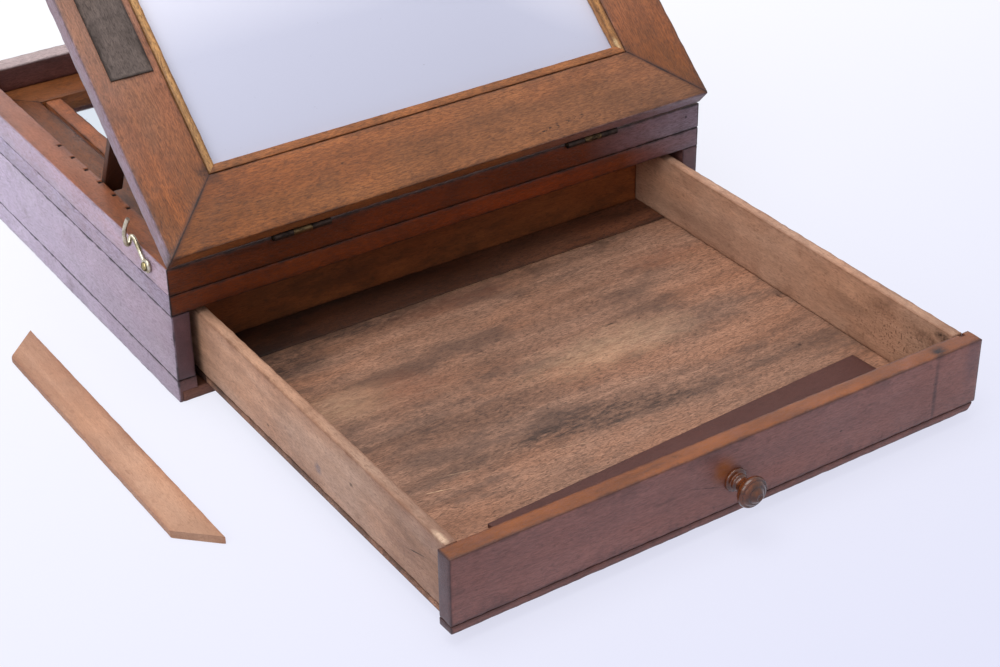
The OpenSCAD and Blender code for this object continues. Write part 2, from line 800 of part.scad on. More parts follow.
// The lid's left glazing fillet, out of its place and lying on the table beside the case
module loose_fillet() {
    left = glass_seat[3] - glass_seat[2];
    color(FILLET_WOOD) translate([-right_x - fillet_out, front_y + fillet_y, 0]) rotate([0, 0, fillet_turn])
        linear_extrude(fillet_t) polygon([[0, -left / 2], [0, left / 2],
            [-fillet_w, left / 2 - fillet_w], [-fillet_w, fillet_w - left / 2]]);
}

base_board();
plinth_left();
plinth_right();
plinth_back();
case_side_left();
case_side_right();
case_back();
mirror_frame_front();
mirror_frame_back();
mirror_frame_left();
mirror_frame_right();
mirror_glass();
mirror_backing();
mirror_fillet_left();
mirror_fillet_right();
tray_wall_front();
tray_wall_back();
tray_wall_left();
tray_wall_right();
hinge_leaves_lower();
hinge_pins();
hinge_screws_lower();
hook_screw();
lid_rail_front();
lid_rail_back();
lid_stile_left();
lid_stile_right();
lid_bead_front();
lid_bead_back();
lid_bead_left();
lid_bead_right();
opal_glass();
lid_fillet_front();
lid_fillet_back();
lid_fillet_right();
abrasive_strip();
hinge_leaves_upper();
hinge_screws_upper();
prop_plates();
prop_plate_screws();
prop_leg_left();
prop_leg_right();
prop_pivot_pin_left();
prop_pivot_pin_right();
prop_foot_pin_left();
prop_foot_pin_right();
hook();
drawer_front();
drawer_front_strip();
drawer_side_left();
drawer_side_right();
drawer_back();
drawer_floor();
knob();
loose_strip();
loose_fillet();
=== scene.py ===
"""A table-top artist's easel: a case with a drawer, a mirror tray and a glazed lid on two prop legs.

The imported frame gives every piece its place. Each wooden member is cut from a block with eased and
worn arrises, and its timber is laid out along its own grain. Lengths are in metres unless a name or
a comment says millimetres, and X runs to the right, Y to the back and Z up.
"""

from __future__ import annotations

import json
import logging
import math
from contextlib import contextmanager
from dataclasses import dataclass, field, replace
from enum import Enum, IntEnum
from typing import Any, Iterator, Optional, Sequence

import bpy
from mathutils import Matrix, Vector

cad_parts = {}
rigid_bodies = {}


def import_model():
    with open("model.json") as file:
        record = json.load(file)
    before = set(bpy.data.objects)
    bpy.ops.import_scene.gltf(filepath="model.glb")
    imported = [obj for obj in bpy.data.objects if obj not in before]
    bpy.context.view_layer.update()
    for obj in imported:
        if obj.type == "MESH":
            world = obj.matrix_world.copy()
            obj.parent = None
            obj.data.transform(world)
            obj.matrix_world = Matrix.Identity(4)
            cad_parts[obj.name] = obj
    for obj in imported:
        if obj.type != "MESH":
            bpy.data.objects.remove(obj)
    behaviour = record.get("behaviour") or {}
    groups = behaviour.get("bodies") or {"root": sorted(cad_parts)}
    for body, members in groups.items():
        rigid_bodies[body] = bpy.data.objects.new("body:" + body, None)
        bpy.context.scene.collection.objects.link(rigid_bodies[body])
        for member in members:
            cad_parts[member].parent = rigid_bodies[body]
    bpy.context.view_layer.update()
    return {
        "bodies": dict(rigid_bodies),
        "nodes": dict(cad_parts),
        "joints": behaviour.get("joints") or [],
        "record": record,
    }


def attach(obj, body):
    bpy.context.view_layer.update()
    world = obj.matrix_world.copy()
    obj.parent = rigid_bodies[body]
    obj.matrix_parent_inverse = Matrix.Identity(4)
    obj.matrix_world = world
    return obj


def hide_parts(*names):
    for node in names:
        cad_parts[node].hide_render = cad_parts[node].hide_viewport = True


LOG = logging.getLogger("easel")
MM = 0.001
Triple = tuple[float, float, float]
Colour = tuple[float, float, float, float]
Extent = tuple[Vector, Vector]
Socket = bpy.types.NodeSocket


def tone(red: float, green: float, blue: float) -> Colour:
    """Gives the linear colour that is shown as an 8-bit red, green and blue.

    Args:
        red: Red, 0 to 255.
        green: Green, 0 to 255.
        blue: Blue, 0 to 255.

    Returns:
        The colour in linear light, with an alpha of one.
    """

    def linear(value: float) -> float:
        """Undoes the display curve for one channel."""
        share = value / 255
        return share / 12.92 if share <= 0.04045 else ((share + 0.055) / 1.055) ** 2.4

    return (linear(red), linear(green), linear(blue), 1.0)


def stops(*rows: tuple[float, float, float, float]) -> list[tuple[float, Colour]]:
    """Gives the stops of a ramp, each from its place, red, green and blue."""
    return [(place, tone(red, green, blue)) for place, red, green, blue in rows]


class Face(Enum):
    """A face of a member, two to an axis, the low one first."""

    LEFT = "Left"
    RIGHT = "Right"
    FRONT = "Front"
    BACK = "Back"
    UNDER = "Under"
    TOP = "Top"


# ---- Node trees ----


class Net:
    """Adds nodes to one tree, linking sockets and setting values as it goes."""

    def __init__(self, tree: bpy.types.NodeTree) -> None:
        """Keeps the tree that nodes are added to."""
        self.tree = tree

    def add(self, kind: str, inputs: Optional[dict[Any, Any]] = None, **settings: Any) -> bpy.types.Node:
        """Adds a node.

        Args:
            kind: The node's type, without its ShaderNode prefix.
            inputs: Input name or index to a socket, which is linked, or to a value, which is set.
            **settings: Properties of the node.

        Returns:
            The new node.
        """
        node = self.tree.nodes.new("ShaderNode" + kind)
        for key, value in settings.items():
            setattr(node, key, value)
        self.feed(node, inputs or {})
        return node

    def feed(self, node: bpy.types.Node, inputs: dict[Any, Any]) -> None:
        """Links each given input of a node to a socket, or sets it to a value.

        Args:
            node: The node.
            inputs: Input name or index to a socket or a value.
        """
        for key, value in inputs.items():
            if isinstance(value, Socket):
                self.tree.links.new(value, node.inputs[key])
            else:
                node.inputs[key].default_value = value

    def group(self, tree: bpy.types.NodeTree, inputs: dict[str, Any]) -> Any:
        """Places a group and gives its outputs."""
        return self.add("Group", inputs, node_tree=tree).outputs

    def own_place(self) -> Socket:
        """Gives Object coordinates."""
        return self.add("TexCoord").outputs["Object"]

    def split(self, vector: Any) -> Any:
        """Gives a vector's X, Y and Z."""
        return self.add("SeparateXYZ", {0: vector}).outputs

    def maths(self, operation: str, first: Any, second: Any = 0.0) -> Socket:
        """Gives the result of an operation on two numbers."""
        return self.add("Math", {0: first, 1: second}, operation=operation).outputs[0]

    def times(self, first: Any, second: Any) -> Socket:
        """Gives the product of two numbers."""
        return self.maths("MULTIPLY", first, second)

    def plus(self, first: Any, second: Any) -> Socket:
        """Gives the sum of two numbers."""
        return self.maths("ADD", first, second)

    def minus(self, first: Any, second: Any) -> Socket:
        """Gives the difference of two numbers."""
        return self.maths("SUBTRACT", first, second)

    def vector(self, operation: str, first: Any, second: Any = (0, 0, 0)) -> Socket:
        """Gives the result of an operation on two vectors, which is a number for a length or a dot."""
        node = self.add("VectorMath", {0: first, 1: second}, operation=operation)
        return node.outputs[1 if operation in ("LENGTH", "DOT_PRODUCT", "DISTANCE") else 0]

    def rise(self, value: Any, low: Any, high: Any, top: Any = 1.0) -> Socket:
        """Gives a smooth rise from zero at low to top at high."""
        inputs = {0: value, 1: low, 2: high, 4: top}
        return self.add("MapRange", inputs, interpolation_type="SMOOTHSTEP").outputs[0]

    def remap(self, value: Any, low: Any, high: Any, bottom: Any = 0.0, top: Any = 1.0) -> Socket:
        """Gives a straight rise from bottom at low to top at high, and no further."""
        return self.add("MapRange", {0: value, 1: low, 2: high, 3: bottom, 4: top}).outputs[0]

    def noise(self, vector: Any, scale: Any = (1, 1, 1), detail: float = 2.0, rough: float = 0.5) -> Socket:
        """Gives a noise of mean one half, on a vector that is first multiplied by scale."""
        place = self.vector("MULTIPLY", vector, scale)
        inputs = {"Vector": place, "Scale": 1.0, "Detail": detail, "Roughness": rough}
        return self.add("TexNoise", inputs).outputs[0]

    def blend(self, share: Any, first: Any, second: Any, kind: str = "MIX") -> Socket:
        """Gives a mix of two colours."""
        inputs = {0: share, 6: first, 7: second}
        return self.add("Mix", inputs, data_type="RGBA", blend_type=kind).outputs[2]

    def ramp(self, value: Any, stops: Sequence[tuple[float, Colour]]) -> Socket:
        """Gives a colour from a ramp with the given stops.

        Args:
            value: Where on the ramp the colour is taken.
            stops: Places and colours.

        Returns:
            The colour.
        """
        node = self.add("ValToRGB", {0: value})
        elements = node.color_ramp.elements
        while len(elements) < len(stops):
            elements.new(1.0)
        for element, (place, colour) in zip(elements, stops):
            element.position = place
            element.color = colour
        return node.outputs[0]


def blank(owner: bpy.types.Material | bpy.types.World) -> Net:
    """Empties the node tree of a material or a world, and gives it as a net.

    Args:
        owner: The material or the world.

    Returns:
        A net on its empty tree.
    """
    owner.use_nodes = True
    owner.node_tree.nodes.clear()
    return Net(owner.node_tree)


class Effect(Net):
    """A shader node group with named inputs and outputs, built once and placed in many materials."""

    KINDS = {float: "NodeSocketFloat", Vector: "NodeSocketVector", tuple: "NodeSocketColor"}

    def __init__(self, name: str, inputs: dict[str, Any], outputs: dict[str, type]) -> None:
        """Makes the group's sockets.

        Args:
            name: The group's name.
            inputs: Input names to default values: a number, a Vector, or a colour.
            outputs: Output names to float, Vector or tuple.
        """
        super().__init__(bpy.data.node_groups.new(name, "ShaderNodeTree"))
        for key, value in inputs.items():
            kind = self.KINDS[type(value)]
            socket = self.tree.interface.new_socket(name=key, in_out="INPUT", socket_type=kind)
            socket.default_value = value
        for key, type_ in outputs.items():
            self.tree.interface.new_socket(name=key, in_out="OUTPUT", socket_type=self.KINDS[type_])
        self.given = self.tree.nodes.new("NodeGroupInput").outputs
        self.result = self.tree.nodes.new("NodeGroupOutput").inputs

    def put(self, **results: Socket) -> None:
        """Links the group's outputs, whose names are given with underscores for spaces."""
        for key, socket in results.items():
            self.tree.links.new(socket, self.result[key.replace("_", " ")])


def wood_figure() -> bpy.types.NodeTree:
    """Builds the group that draws timber with its grain along X.

    Returns:
        The group's tree.
    """
    net = Effect(
        "Wood Figure",
        {
            "Vector": Vector(), "Pale": tone(170, 120, 85), "Deep": tone(120, 75, 50),
            "Pore": tone(60, 35, 25), "Stain": tone(80, 65, 55), "Streaks": 0.6, "Blotches": 0.4,
            "Pores": 0.5, "Staining": 0.0, "Uneven": 0.5, "Flecks": 0.25,
        },
        {"Color": tuple, "Height": float, "Gloss": float, "Shade": float, "Light": float},
    )
    given = net.given
    sway = net.add("TexNoise", {"Vector": net.vector("MULTIPLY", given["Vector"], (6, 15, 15)), "Scale": 1.0})
    drift = net.vector("SUBTRACT", sway.outputs[1], (0.5, 0.5, 0.5))
    drift = net.vector("MULTIPLY", drift, (0, 0.007, 0.007))
    place = net.vector("ADD", given["Vector"], drift)
    long = net.rise(net.noise(place, (3.5, 75, 75), 5, 0.62), 0.36, 0.66)
    broad = net.rise(net.noise(place, (5, 22, 22), 4), 0.4, 0.66)
    fibre = net.rise(net.noise(place, (210, 1250, 1250), 4, 0.7), 0.38, 0.62)
    pore = net.rise(net.noise(place, (380, 1700, 1700), 2), 0.55, 0.63)
    patch = net.rise(net.noise(place, (13, 36, 36), 6, 0.68), 0.48, 0.66)
    mottle = net.noise(place, (24, 60, 60), 7, 0.64)
    warmth = net.rise(net.noise(place, (9, 24, 24), 4), 0.42, 0.62)
    colour = net.blend(net.times(long, given["Streaks"]), given["Pale"], given["Deep"])
    colour = net.blend(net.times(broad, given["Blotches"]), colour, given["Deep"])
    colour = net.blend(net.times(warmth, given["Uneven"]), colour, (1.16, 0.96, 0.8, 1), "MULTIPLY")
    light = net.remap(mottle, 0.3, 0.7, 0.62, 1.3)
    colour = net.blend(given["Uneven"], colour, light, "MULTIPLY")
    shade = net.minus(1.0, net.times(fibre, given["Flecks"]))
    shade = net.minus(shade, net.times(net.times(pore, given["Pores"]), 0.55))
    colour = net.blend(net.minus(1.0, shade), colour, given["Pore"])
    colour = net.blend(net.times(patch, given["Staining"]), colour, given["Stain"])
    height = net.minus(net.times(long, 0.35), net.times(pore, 0.8))
    height = net.minus(height, net.times(fibre, 0.4))
    gloss = net.noise(given["Vector"], (25, 60, 60), 3)
    net.put(Color=colour, Height=height, Gloss=gloss, Shade=shade, Light=light)
    return net.tree


def board_edges() -> bpy.types.NodeTree:
    """Builds the group that finds the arrises and the faces of a board between two corners.

    Returns:
        The group's tree.
    """
    net = Effect(
        "Board Edges",
        {"Vector": Vector(), "Low": Vector(), "High": Vector(), "Width": 0.003, "Ragged": 0.004},
        {"Rim": float, "Grime": float, **{face.value: float for face in Face}},
    )
    given = net.given
    from_low = net.vector("SUBTRACT", given["Vector"], given["Low"])
    from_high = net.vector("SUBTRACT", given["High"], given["Vector"])
    near = net.split(net.vector("MINIMUM", from_low, from_high))
    least = net.maths("MINIMUM", net.maths("MINIMUM", near[0], near[1]), near[2])
    most = net.maths("MAXIMUM", net.maths("MAXIMUM", near[0], near[1]), near[2])
    total = net.plus(net.plus(near[0], near[1]), near[2])
    middle = net.minus(net.minus(total, least), most)
    rough = net.minus(net.noise(given["Vector"], (110, 110, 110), 4, 0.65), 0.5)
    edge = net.plus(middle, net.times(rough, given["Ragged"]))
    net.put(Rim=net.minus(1.0, net.rise(edge, 0.0, given["Width"])))
    cloud = net.minus(net.noise(given["Vector"], (38, 38, 38), 5, 0.65), 0.42)
    reach = net.plus(middle, net.times(cloud, 0.05))
    net.put(Grime=net.minus(1.0, net.rise(reach, 0.0, 0.011)))
    lows = net.split(from_low)
    highs = net.split(from_high)
    for index, face in enumerate(Face):
        distance = (lows, highs)[index % 2][index // 2]
        net.put(**{face.value: net.minus(1.0, net.rise(distance, 0.0002, 0.0014))})
    return net.tree


def spot() -> bpy.types.NodeTree:
    """Builds the group that masks a ragged spot of a given size about a point.

    Returns:
        The group's tree.
    """
    net = Effect(
        "Spot",
        {"Vector": Vector(), "Centre": Vector(), "Size": Vector((0.01, 0.01, 0.01)), "Ragged": 0.5},
        {"Mask": float},
    )
    given = net.given
    offset = net.vector("SUBTRACT", given["Vector"], given["Centre"])
    reach = net.vector("LENGTH", net.vector("DIVIDE", offset, given["Size"]))
    rough = net.minus(net.noise(given["Vector"], (55, 90, 90), 9, 0.72), 0.5)
    reach = net.plus(reach, net.times(rough, given["Ragged"]))
    mottle = net.remap(net.noise(given["Vector"], (120, 420, 420), 5, 0.75), 0.32, 0.6, 0.3)
    broken = net.maths("POWER", mottle, given["Ragged"])
    net.put(Mask=net.times(net.minus(1.0, net.rise(reach, 0.15, 1.05)), broken))
    return net.tree


def seam() -> bpy.types.NodeTree:
    """Builds the group that masks a thin ragged line where a plane meets the surface.

    Returns:
        The group's tree.
    """
    net = Effect(
        "Seam",
        {"Vector": Vector(), "Point": Vector(), "Normal": Vector((1, 0, 0)), "Width": 0.0008},
        {"Mask": float},
    )
    given = net.given
    away = net.vector("DOT_PRODUCT", net.vector("SUBTRACT", given["Vector"], given["Point"]), given["Normal"])
    rough = net.minus(net.noise(given["Vector"], (90, 90, 90), 4, 0.7), 0.42)
    away = net.plus(net.maths("ABSOLUTE", away), net.times(rough, 0.0018))
    net.put(Mask=net.minus(1.0, net.rise(away, 0.0, given["Width"])))
    return net.tree


def wear() -> bpy.types.NodeTree:
    """Builds the group that masks fine dents and scratches scattered over a surface.

    Returns:
        The group's tree.
    """
    net = Effect(
        "Wear",
        {"Vector": Vector(), "Amount": 0.5},
        {"Scratches": float, "Dents": float, "Haze": float, "Pits": float},
    )
    given = net.given
    twist = net.add("Mapping", {"Vector": given["Vector"], "Rotation": (0.2, 0.3, 0.6)}).outputs[0]
    lines = net.rise(net.noise(twist, (18, 700, 300), 1), 0.68, 0.74)
    gate = net.rise(net.noise(given["Vector"], (22, 22, 22), 2), 0.5, 0.6)
    dents = net.rise(net.noise(given["Vector"], (170, 170, 170), 1), 0.68, 0.76)
    net.put(
        Scratches=net.times(net.times(lines, gate), given["Amount"]),
        Dents=net.times(dents, given["Amount"]),
        Haze=net.rise(net.noise(given["Vector"], (40, 40, 40), 7, 0.7), 0.0, 0.5),
        Pits=net.rise(net.noise(given["Vector"], (330, 620, 620), 2), 0.6, 0.64),
    )
    return net.tree


@dataclass
class Effects:
    """The shared node groups."""

    figure: bpy.types.NodeTree = field(default_factory=wood_figure)
    edges: bpy.types.NodeTree = field(default_factory=board_edges)
    spot: bpy.types.NodeTree = field(default_factory=spot)
    seam: bpy.types.NodeTree = field(default_factory=seam)
    wear: bpy.types.NodeTree = field(default_factory=wear)


# ---- Finishes ----


class Grain(Enum):
    """The direction that a member's grain runs in, as the turn that lays it along X."""

    ACROSS = (0.0, 0.0, 0.0)
    BACK = (0.0, 0.0, -math.pi / 2)


AXES = {Grain.ACROSS: 0, Grain.BACK: 1}


@dataclass(frozen=True)
class Timber:
    """A wood and how it has been finished and worn.

    Attributes:
        name: Name used in its materials' names.
        pale: Colour between the growth streaks.
        deep: Colour of the growth streaks.
        pore: Colour of the open pores.
        streaks: Strength of the growth streaks.
        blotches: Strength of the broad darker areas.
        pores: Strength of the pores.
        rim: Colour that the arrises have worn or darkened to.
        rimming: Strength of that colour.
        rim_width: How far it reaches in from an arris.
        stain: Colour of the stains.
        staining: Strength of the stains.
        rough: Mean roughness.
        relief: Height of the surface relief.
        coat: Weight of the polish.
        uneven: How far brightness and warmth vary over a member.
        grime: Strength of the dirt that gathers towards the arrises.
        flecks: Strength of the fine fibres.
    """

    name: str
    pale: Colour
    deep: Colour
    pore: Colour = tone(52, 30, 22)
    streaks: float = 0.55
    blotches: float = 0.35
    pores: float = 0.5
    rim: Colour = tone(60, 35, 26)
    rimming: float = 0.5
    rim_width: float = 0.0022
    stain: Colour = tone(70, 52, 42)
    staining: float = 0.0
    rough: float = 0.42
    relief: float = 0.00012
    coat: float = 0.0
    uneven: float = 0.5
    grime: float = 0.3
    flecks: float = 0.25


MAHOGANY = Timber(
    "mahogany", tone(174, 110, 62), tone(126, 77, 42), rim=tone(50, 28, 22), rimming=0.7, rim_width=0.0017,
    uneven=0.5, pores=0.42, coat=0.05, flecks=0.46,
)
BEAD_FRONT = replace(MAHOGANY, name="bead_front", pale=tone(186, 122, 74), rimming=0.3, rim_width=0.001)
TRAY_WOOD = Timber(
    "tray_wood", tone(190, 116, 72), tone(144, 82, 46), rim=tone(40, 22, 20), rimming=0.7,
    rim_width=0.0015, coat=0.1, flecks=0.3,
)
WALL_DARK = Timber(
    "wall_dark", tone(116, 78, 74), tone(84, 54, 52), rim=tone(40, 24, 22), rimming=0.5, flecks=0.35,
)
# Dark red wood for the front members of the tray and the mirror frame; its darkness is partly painted shade,
# as those members lie under the lid's overhang.
SHADED_RED_WOOD = Timber(
    "shaded_red_wood", tone(136, 66, 18), tone(88, 38, 10), rim=tone(30, 14, 10), rimming=0.85, rim_width=0.0018,
    rough=0.36, flecks=0.38,
)
FRAME_WOOD = replace(
    SHADED_RED_WOOD, name="frame_wood", pale=tone(158, 96, 52), deep=tone(112, 64, 34), rimming=0.45,
    rim_width=0.001,
)
LEFT_WALL_WOOD = replace(TRAY_WOOD, name="left_wall_wood", rimming=0.3, rim_width=0.0008)
CASE_WOOD = Timber(
    "case_wood", tone(118, 80, 78), tone(84, 56, 54), rim=tone(34, 22, 26), rimming=0.85, rim_width=0.0015,
    coat=0.1, uneven=0.3, pores=0.4, flecks=0.26,
)
DARK_WOOD = Timber("dark_wood", tone(96, 58, 40), tone(64, 36, 26), rimming=0.3, flecks=0.35)
BEAD_WOOD = Timber(
    "bead_wood", tone(220, 168, 106), tone(164, 108, 58), tone(60, 36, 22), pores=0.8,
    rim=tone(84, 50, 26), rimming=0.6, stain=tone(90, 56, 32), staining=0.45, flecks=0.35, uneven=0.7,
)
FRONT_WOOD = Timber(
    "front_wood", tone(166, 114, 104), tone(134, 90, 82), rim=tone(46, 30, 32), rimming=0.6, rough=0.38,
    coat=0.1, uneven=0.3, pores=0.3, flecks=0.28,
)
SIDE_WOOD = Timber(
    "side_wood", tone(210, 169, 142), tone(180, 139, 112), tone(112, 80, 62), pores=0.5,
    rim=tone(118, 76, 54), rimming=0.55, stain=tone(120, 90, 74), staining=0.35, rough=0.6, uneven=0.4,
    grime=0.3, flecks=0.25,
)
BACK_WOOD = Timber(
    "back_wood", tone(184, 112, 64), tone(132, 76, 42), tone(60, 34, 22), rim=tone(54, 30, 20),
    rimming=0.5, stain=tone(80, 48, 32), staining=0.55, rough=0.6, flecks=0.28, pores=0.4,
)
FLOOR_WOOD = Timber(
    "floor_wood", tone(180, 137, 112), tone(138, 98, 76), tone(56, 40, 34), streaks=0.55, blotches=0.35,
    pores=0.6, rim=tone(60, 42, 32), rimming=0.4, stain=tone(82, 64, 56), staining=0.6, rough=0.62,
    relief=0.0002, uneven=0.45, grime=0.6, flecks=0.42,
)
# Darker floor wood for the narrow board at the back of the drawer, under the case; its darkness is partly
# painted shade.
FLOOR_DARK = Timber(
    "floor_dark", tone(152, 98, 70), tone(96, 60, 44), tone(30, 20, 16), streaks=0.6, blotches=0.5,
    pores=0.8, rim=tone(40, 26, 20), rimming=0.4, stain=tone(36, 26, 22), staining=0.6, rough=0.62,
    uneven=0.6, flecks=0.35,
)
FILLET_WOOD = Timber(
    "fillet_wood", tone(197, 155, 128), tone(168, 126, 100), tone(132, 88, 66), streaks=0.9, blotches=0.5,
    pores=0.35, rim=tone(150, 102, 80), rimming=0.4, rough=0.55, uneven=0.4, grime=0.1, flecks=0.18,
)
DARK_CARD = Timber(
    "dark_card", tone(88, 55, 49), tone(74, 45, 40), tone(64, 40, 36), streaks=0.3, blotches=0.3,
    pores=0.3, rimming=0.2, rough=0.6, uneven=0.3, grime=0.1, flecks=0.3,
)
ABRASIVE = Timber(
    "abrasive", tone(120, 105, 98), tone(86, 75, 69), tone(40, 34, 32), streaks=0.2, blotches=0.3,
    pores=0.5, rim=tone(40, 32, 28), rimming=0.8, rough=0.85, relief=0.0004, uneven=0.5, flecks=0.3,
)


@dataclass(frozen=True)
class Haze:
    """A tint on one face of a member: on most faces a painted reflection, the sheen of bright surroundings;
    on others a tint of the wood's own colour.

    Attributes:
        face: The face.
        colour: Its colour.
        near: Its strength at the low end of the member's length.
        far: Its strength at the high end.
        start: Where along the length it starts to change, from zero to one.
        varied: How far it follows the light and dark of the wood.
    """

    face: Face
    colour: Colour
    near: float
    far: float
    start: float = 0.0
    varied: float = 0.3


@dataclass(frozen=True)
class Mark:
    """A spot, stain or hole on a member.

    Attributes:
        place: Centre in the member's working frame, in millimetres.
        size: Half extents, in millimetres.
        colour: Colour of the mark.
        strength: How much of it shows.
        ragged: How far its outline wanders, as a share of its size.
        pits: Whether only fine pits within it are coloured.
    """

    place: Triple
    size: Triple
    colour: Colour = tone(40, 26, 20)
    strength: float = 0.85
    ragged: float = 0.6
    pits: bool = False


@dataclass(frozen=True)
class Line:
    """A dark line where a plane meets a member, such as a joint or a crack.

    Attributes:
        point: A point of the plane, in metres.
        normal: The plane's normal.
        width: Half the line's width.
        colour: Colour of the line.
        within: A mark that limits the line to a stretch, or None.
    """

    point: Triple
    normal: Triple
    width: float = 0.0011
    colour: Colour = tone(28, 18, 16)
    within: Optional[Mark] = None


class Dresser:
    """Makes materials from the shared effects."""

    LOOKS = ("Pale", "Deep", "Pore", "Stain", "Streaks", "Blotches", "Pores", "Staining", "Uneven", "Flecks")
    WOOD_SHEEN = 0.3
    COAT_ROUGH = 0.3
    SCARS = 0.5
    SMOOTHER = 0.09
    ROUGHER = 0.11
    TARNISH_ROUGHER = 0.22
    TARNISH_RELIEF = 0.00002

    def __init__(self, effects: Effects) -> None:
        """Keeps the effects and starts the count that varies one member's figure from the next."""
        self.effects = effects
        self.count = 0

    def start(self, name: str) -> tuple[bpy.types.Material, Net, bpy.types.Node]:
        """Makes a material with an empty Principled BSDF.

        Args:
            name: The material's name.

        Returns:
            The material, its net and its shader.
        """
        material = bpy.data.materials.new(name)
        net = blank(material)
        shader = net.add("BsdfPrincipled")
        net.add("OutputMaterial", {0: shader.outputs[0]})
        return material, net, shader

    def flat_place(self, net: Net, bench: Matrix) -> Socket:
        """Gives Object coordinates in a member's working frame.

        Args:
            net: The material's net.
            bench: The working frame.

        Returns:
            The coordinates.
        """
        back = bench.inverted()
        inputs = {
            "Vector": net.own_place(),
            "Location": back.to_translation(),
            "Rotation": back.to_euler(),
        }
        return net.add("Mapping", inputs).outputs[0]

    def mask_of(self, net: Net, flat: Socket, mark: Mark) -> Socket:
        """Gives the mask of one mark.

        Args:
            net: The material's net.
            flat: Coordinates in the working frame.
            mark: The mark.

        Returns:
            The mask.
        """
        centre, size = Vector(mark.place) * MM, Vector(mark.size) * MM
        inputs = {"Vector": flat, "Centre": centre, "Size": size, "Ragged": mark.ragged}
        return net.group(self.effects.spot, inputs)[0]

    def timber(
        self,
        timber: Timber,
        name: str,
        extent: Extent,
        bench: Matrix,
        grain: Grain,
        faces: Sequence[Haze],
        sweep: Sequence[tuple[float, Colour]],
        marks: Sequence[Mark],
        lines: Sequence[Line],
    ) -> bpy.types.Material:
        """Makes the material of one wooden member.

        Args:
            timber: The wood and its finish.
            name: The member's name.
            extent: The member's corners in its working frame.
            bench: The working frame.
            grain: The direction of its grain.
            faces: Tints of its faces, most of them painted reflections.
            sweep: Stops of a colour that multiplies the wood along its length.
            marks: Spots and stains.
            lines: Joints and cracks.

        Returns:
            The material.
        """
        material, net, shader = self.start(f"{timber.name}_{name}")
        self.count += 1
        low, high = extent
        flat = self.flat_place(net, bench)
        offset = (self.count * 0.37 % 5, self.count * 0.71 % 3, self.count * 0.53 % 4)
        along = net.add("Mapping", {"Vector": flat, "Location": offset, "Rotation": grain.value}).outputs[0]
        looks = {name: getattr(timber, name.lower()) for name in self.LOOKS}
        figure = net.group(self.effects.figure, {"Vector": along, **looks})
        colour = figure["Color"]
        axis = AXES[grain]
        length = net.split(flat)[axis]
        if sweep:
            share = net.remap(length, low[axis], high[axis])
            colour = net.blend(1.0, colour, net.ramp(share, sweep), "MULTIPLY")
        inputs = {"Vector": flat, "Low": low, "High": high, "Width": timber.rim_width}
        edges = net.group(self.effects.edges, inputs)
        colour = net.blend(net.times(edges["Grime"], timber.grime), colour, timber.rim)
        worn = net.group(self.effects.wear, {"Vector": flat})
        # Face tints: most paint a reflection, the sheen of bright surroundings, into the colour.
        for haze in faces:
            start = low[axis] + haze.start * (high[axis] - low[axis])
            share = net.remap(length, start, high[axis], haze.near, haze.far)
            share = net.times(share, edges[haze.face.value])
            share = net.times(net.times(share, figure["Shade"]), worn["Haze"])
            varied = net.blend(haze.varied, haze.colour, figure["Light"], "MULTIPLY")
            colour = net.blend(share, colour, varied)
        colour = net.blend(net.times(edges["Rim"], timber.rimming), colour, timber.rim)
        for scars in ("Dents", "Scratches"):
            colour = net.blend(net.times(worn[scars], self.SCARS), colour, timber.pore)
        for mark in marks:
            mask = self.mask_of(net, flat, mark)
            if mark.pits:
                mask = net.times(mask, worn["Pits"])
            colour = net.blend(net.times(mask, mark.strength), colour, mark.colour)
        for line in lines:
            inputs = {"Vector": flat, "Point": line.point, "Normal": line.normal, "Width": line.width}
            mask = net.group(self.effects.seam, inputs)[0]
            if line.within:
                mask = net.times(mask, self.mask_of(net, flat, line.within))
            colour = net.blend(mask, colour, line.colour)
        least, most = timber.rough - self.SMOOTHER, timber.rough + self.ROUGHER
        rough = net.remap(figure["Gloss"], 0.3, 0.7, least, most)
        bump = net.add("Bump", {"Height": figure["Height"], "Distance": timber.relief, "Strength": 0.8})
        net.feed(shader, {
            "Base Color": colour, "Roughness": rough, "Specular IOR Level": self.WOOD_SHEEN,
            "Coat Weight": timber.coat, "Coat Roughness": self.COAT_ROUGH, "Normal": bump.outputs[0],
        })
        return material

    def metal(
        self, name: str, base: Colour, dull: Colour, rough: float, metallic: float = 1.0
    ) -> bpy.types.Material:
        """Makes a tarnished metal.

        Args:
            name: The material's name.
            base: Colour of the clean metal.
            dull: Colour of the tarnish.
            rough: Mean roughness.
            metallic: How metallic the surface is.

        Returns:
            The material.
        """
        material, net, shader = self.start(name)
        place = net.own_place()
        tarnish = net.rise(net.noise(place, (210, 210, 210), 6, 0.7), 0.42, 0.66)
        colour = net.blend(tarnish, base, dull)
        worn = net.group(self.effects.wear, {"Vector": place, "Amount": 0.7})
        colour = net.blend(worn["Scratches"], colour, base)
        roughness = net.remap(tarnish, 0.0, 1.0, rough, rough + self.TARNISH_ROUGHER)
        bump = net.add("Bump", {"Height": tarnish, "Distance": self.TARNISH_RELIEF, "Strength": 0.5})
        net.feed(shader, {
            "Base Color": colour, "Roughness": roughness, "Metallic": metallic, "Normal": bump.outputs[0],
        })
        return material


# ---- Shaping ----

PAST = 0.01  # How far a cutter reaches past what it cuts.
MARGIN = 0.003  # How far in from an arris its wear stops.
WEAR_PITCH = 0.004  # Spacing of the points that an arris wears at.
THIN = 0.3  # The most of a thin member that an arris or a margin takes up.

def deselect() -> None:
    """Deselects every object, the frame's nodes among them."""
    bpy.ops.object.select_all(action="DESELECT")


def pick(piece: bpy.types.Object) -> None:
    """Makes a piece the only selected and the active object."""
    deselect()
    piece.select_set(True)
    bpy.context.view_layer.objects.active = piece


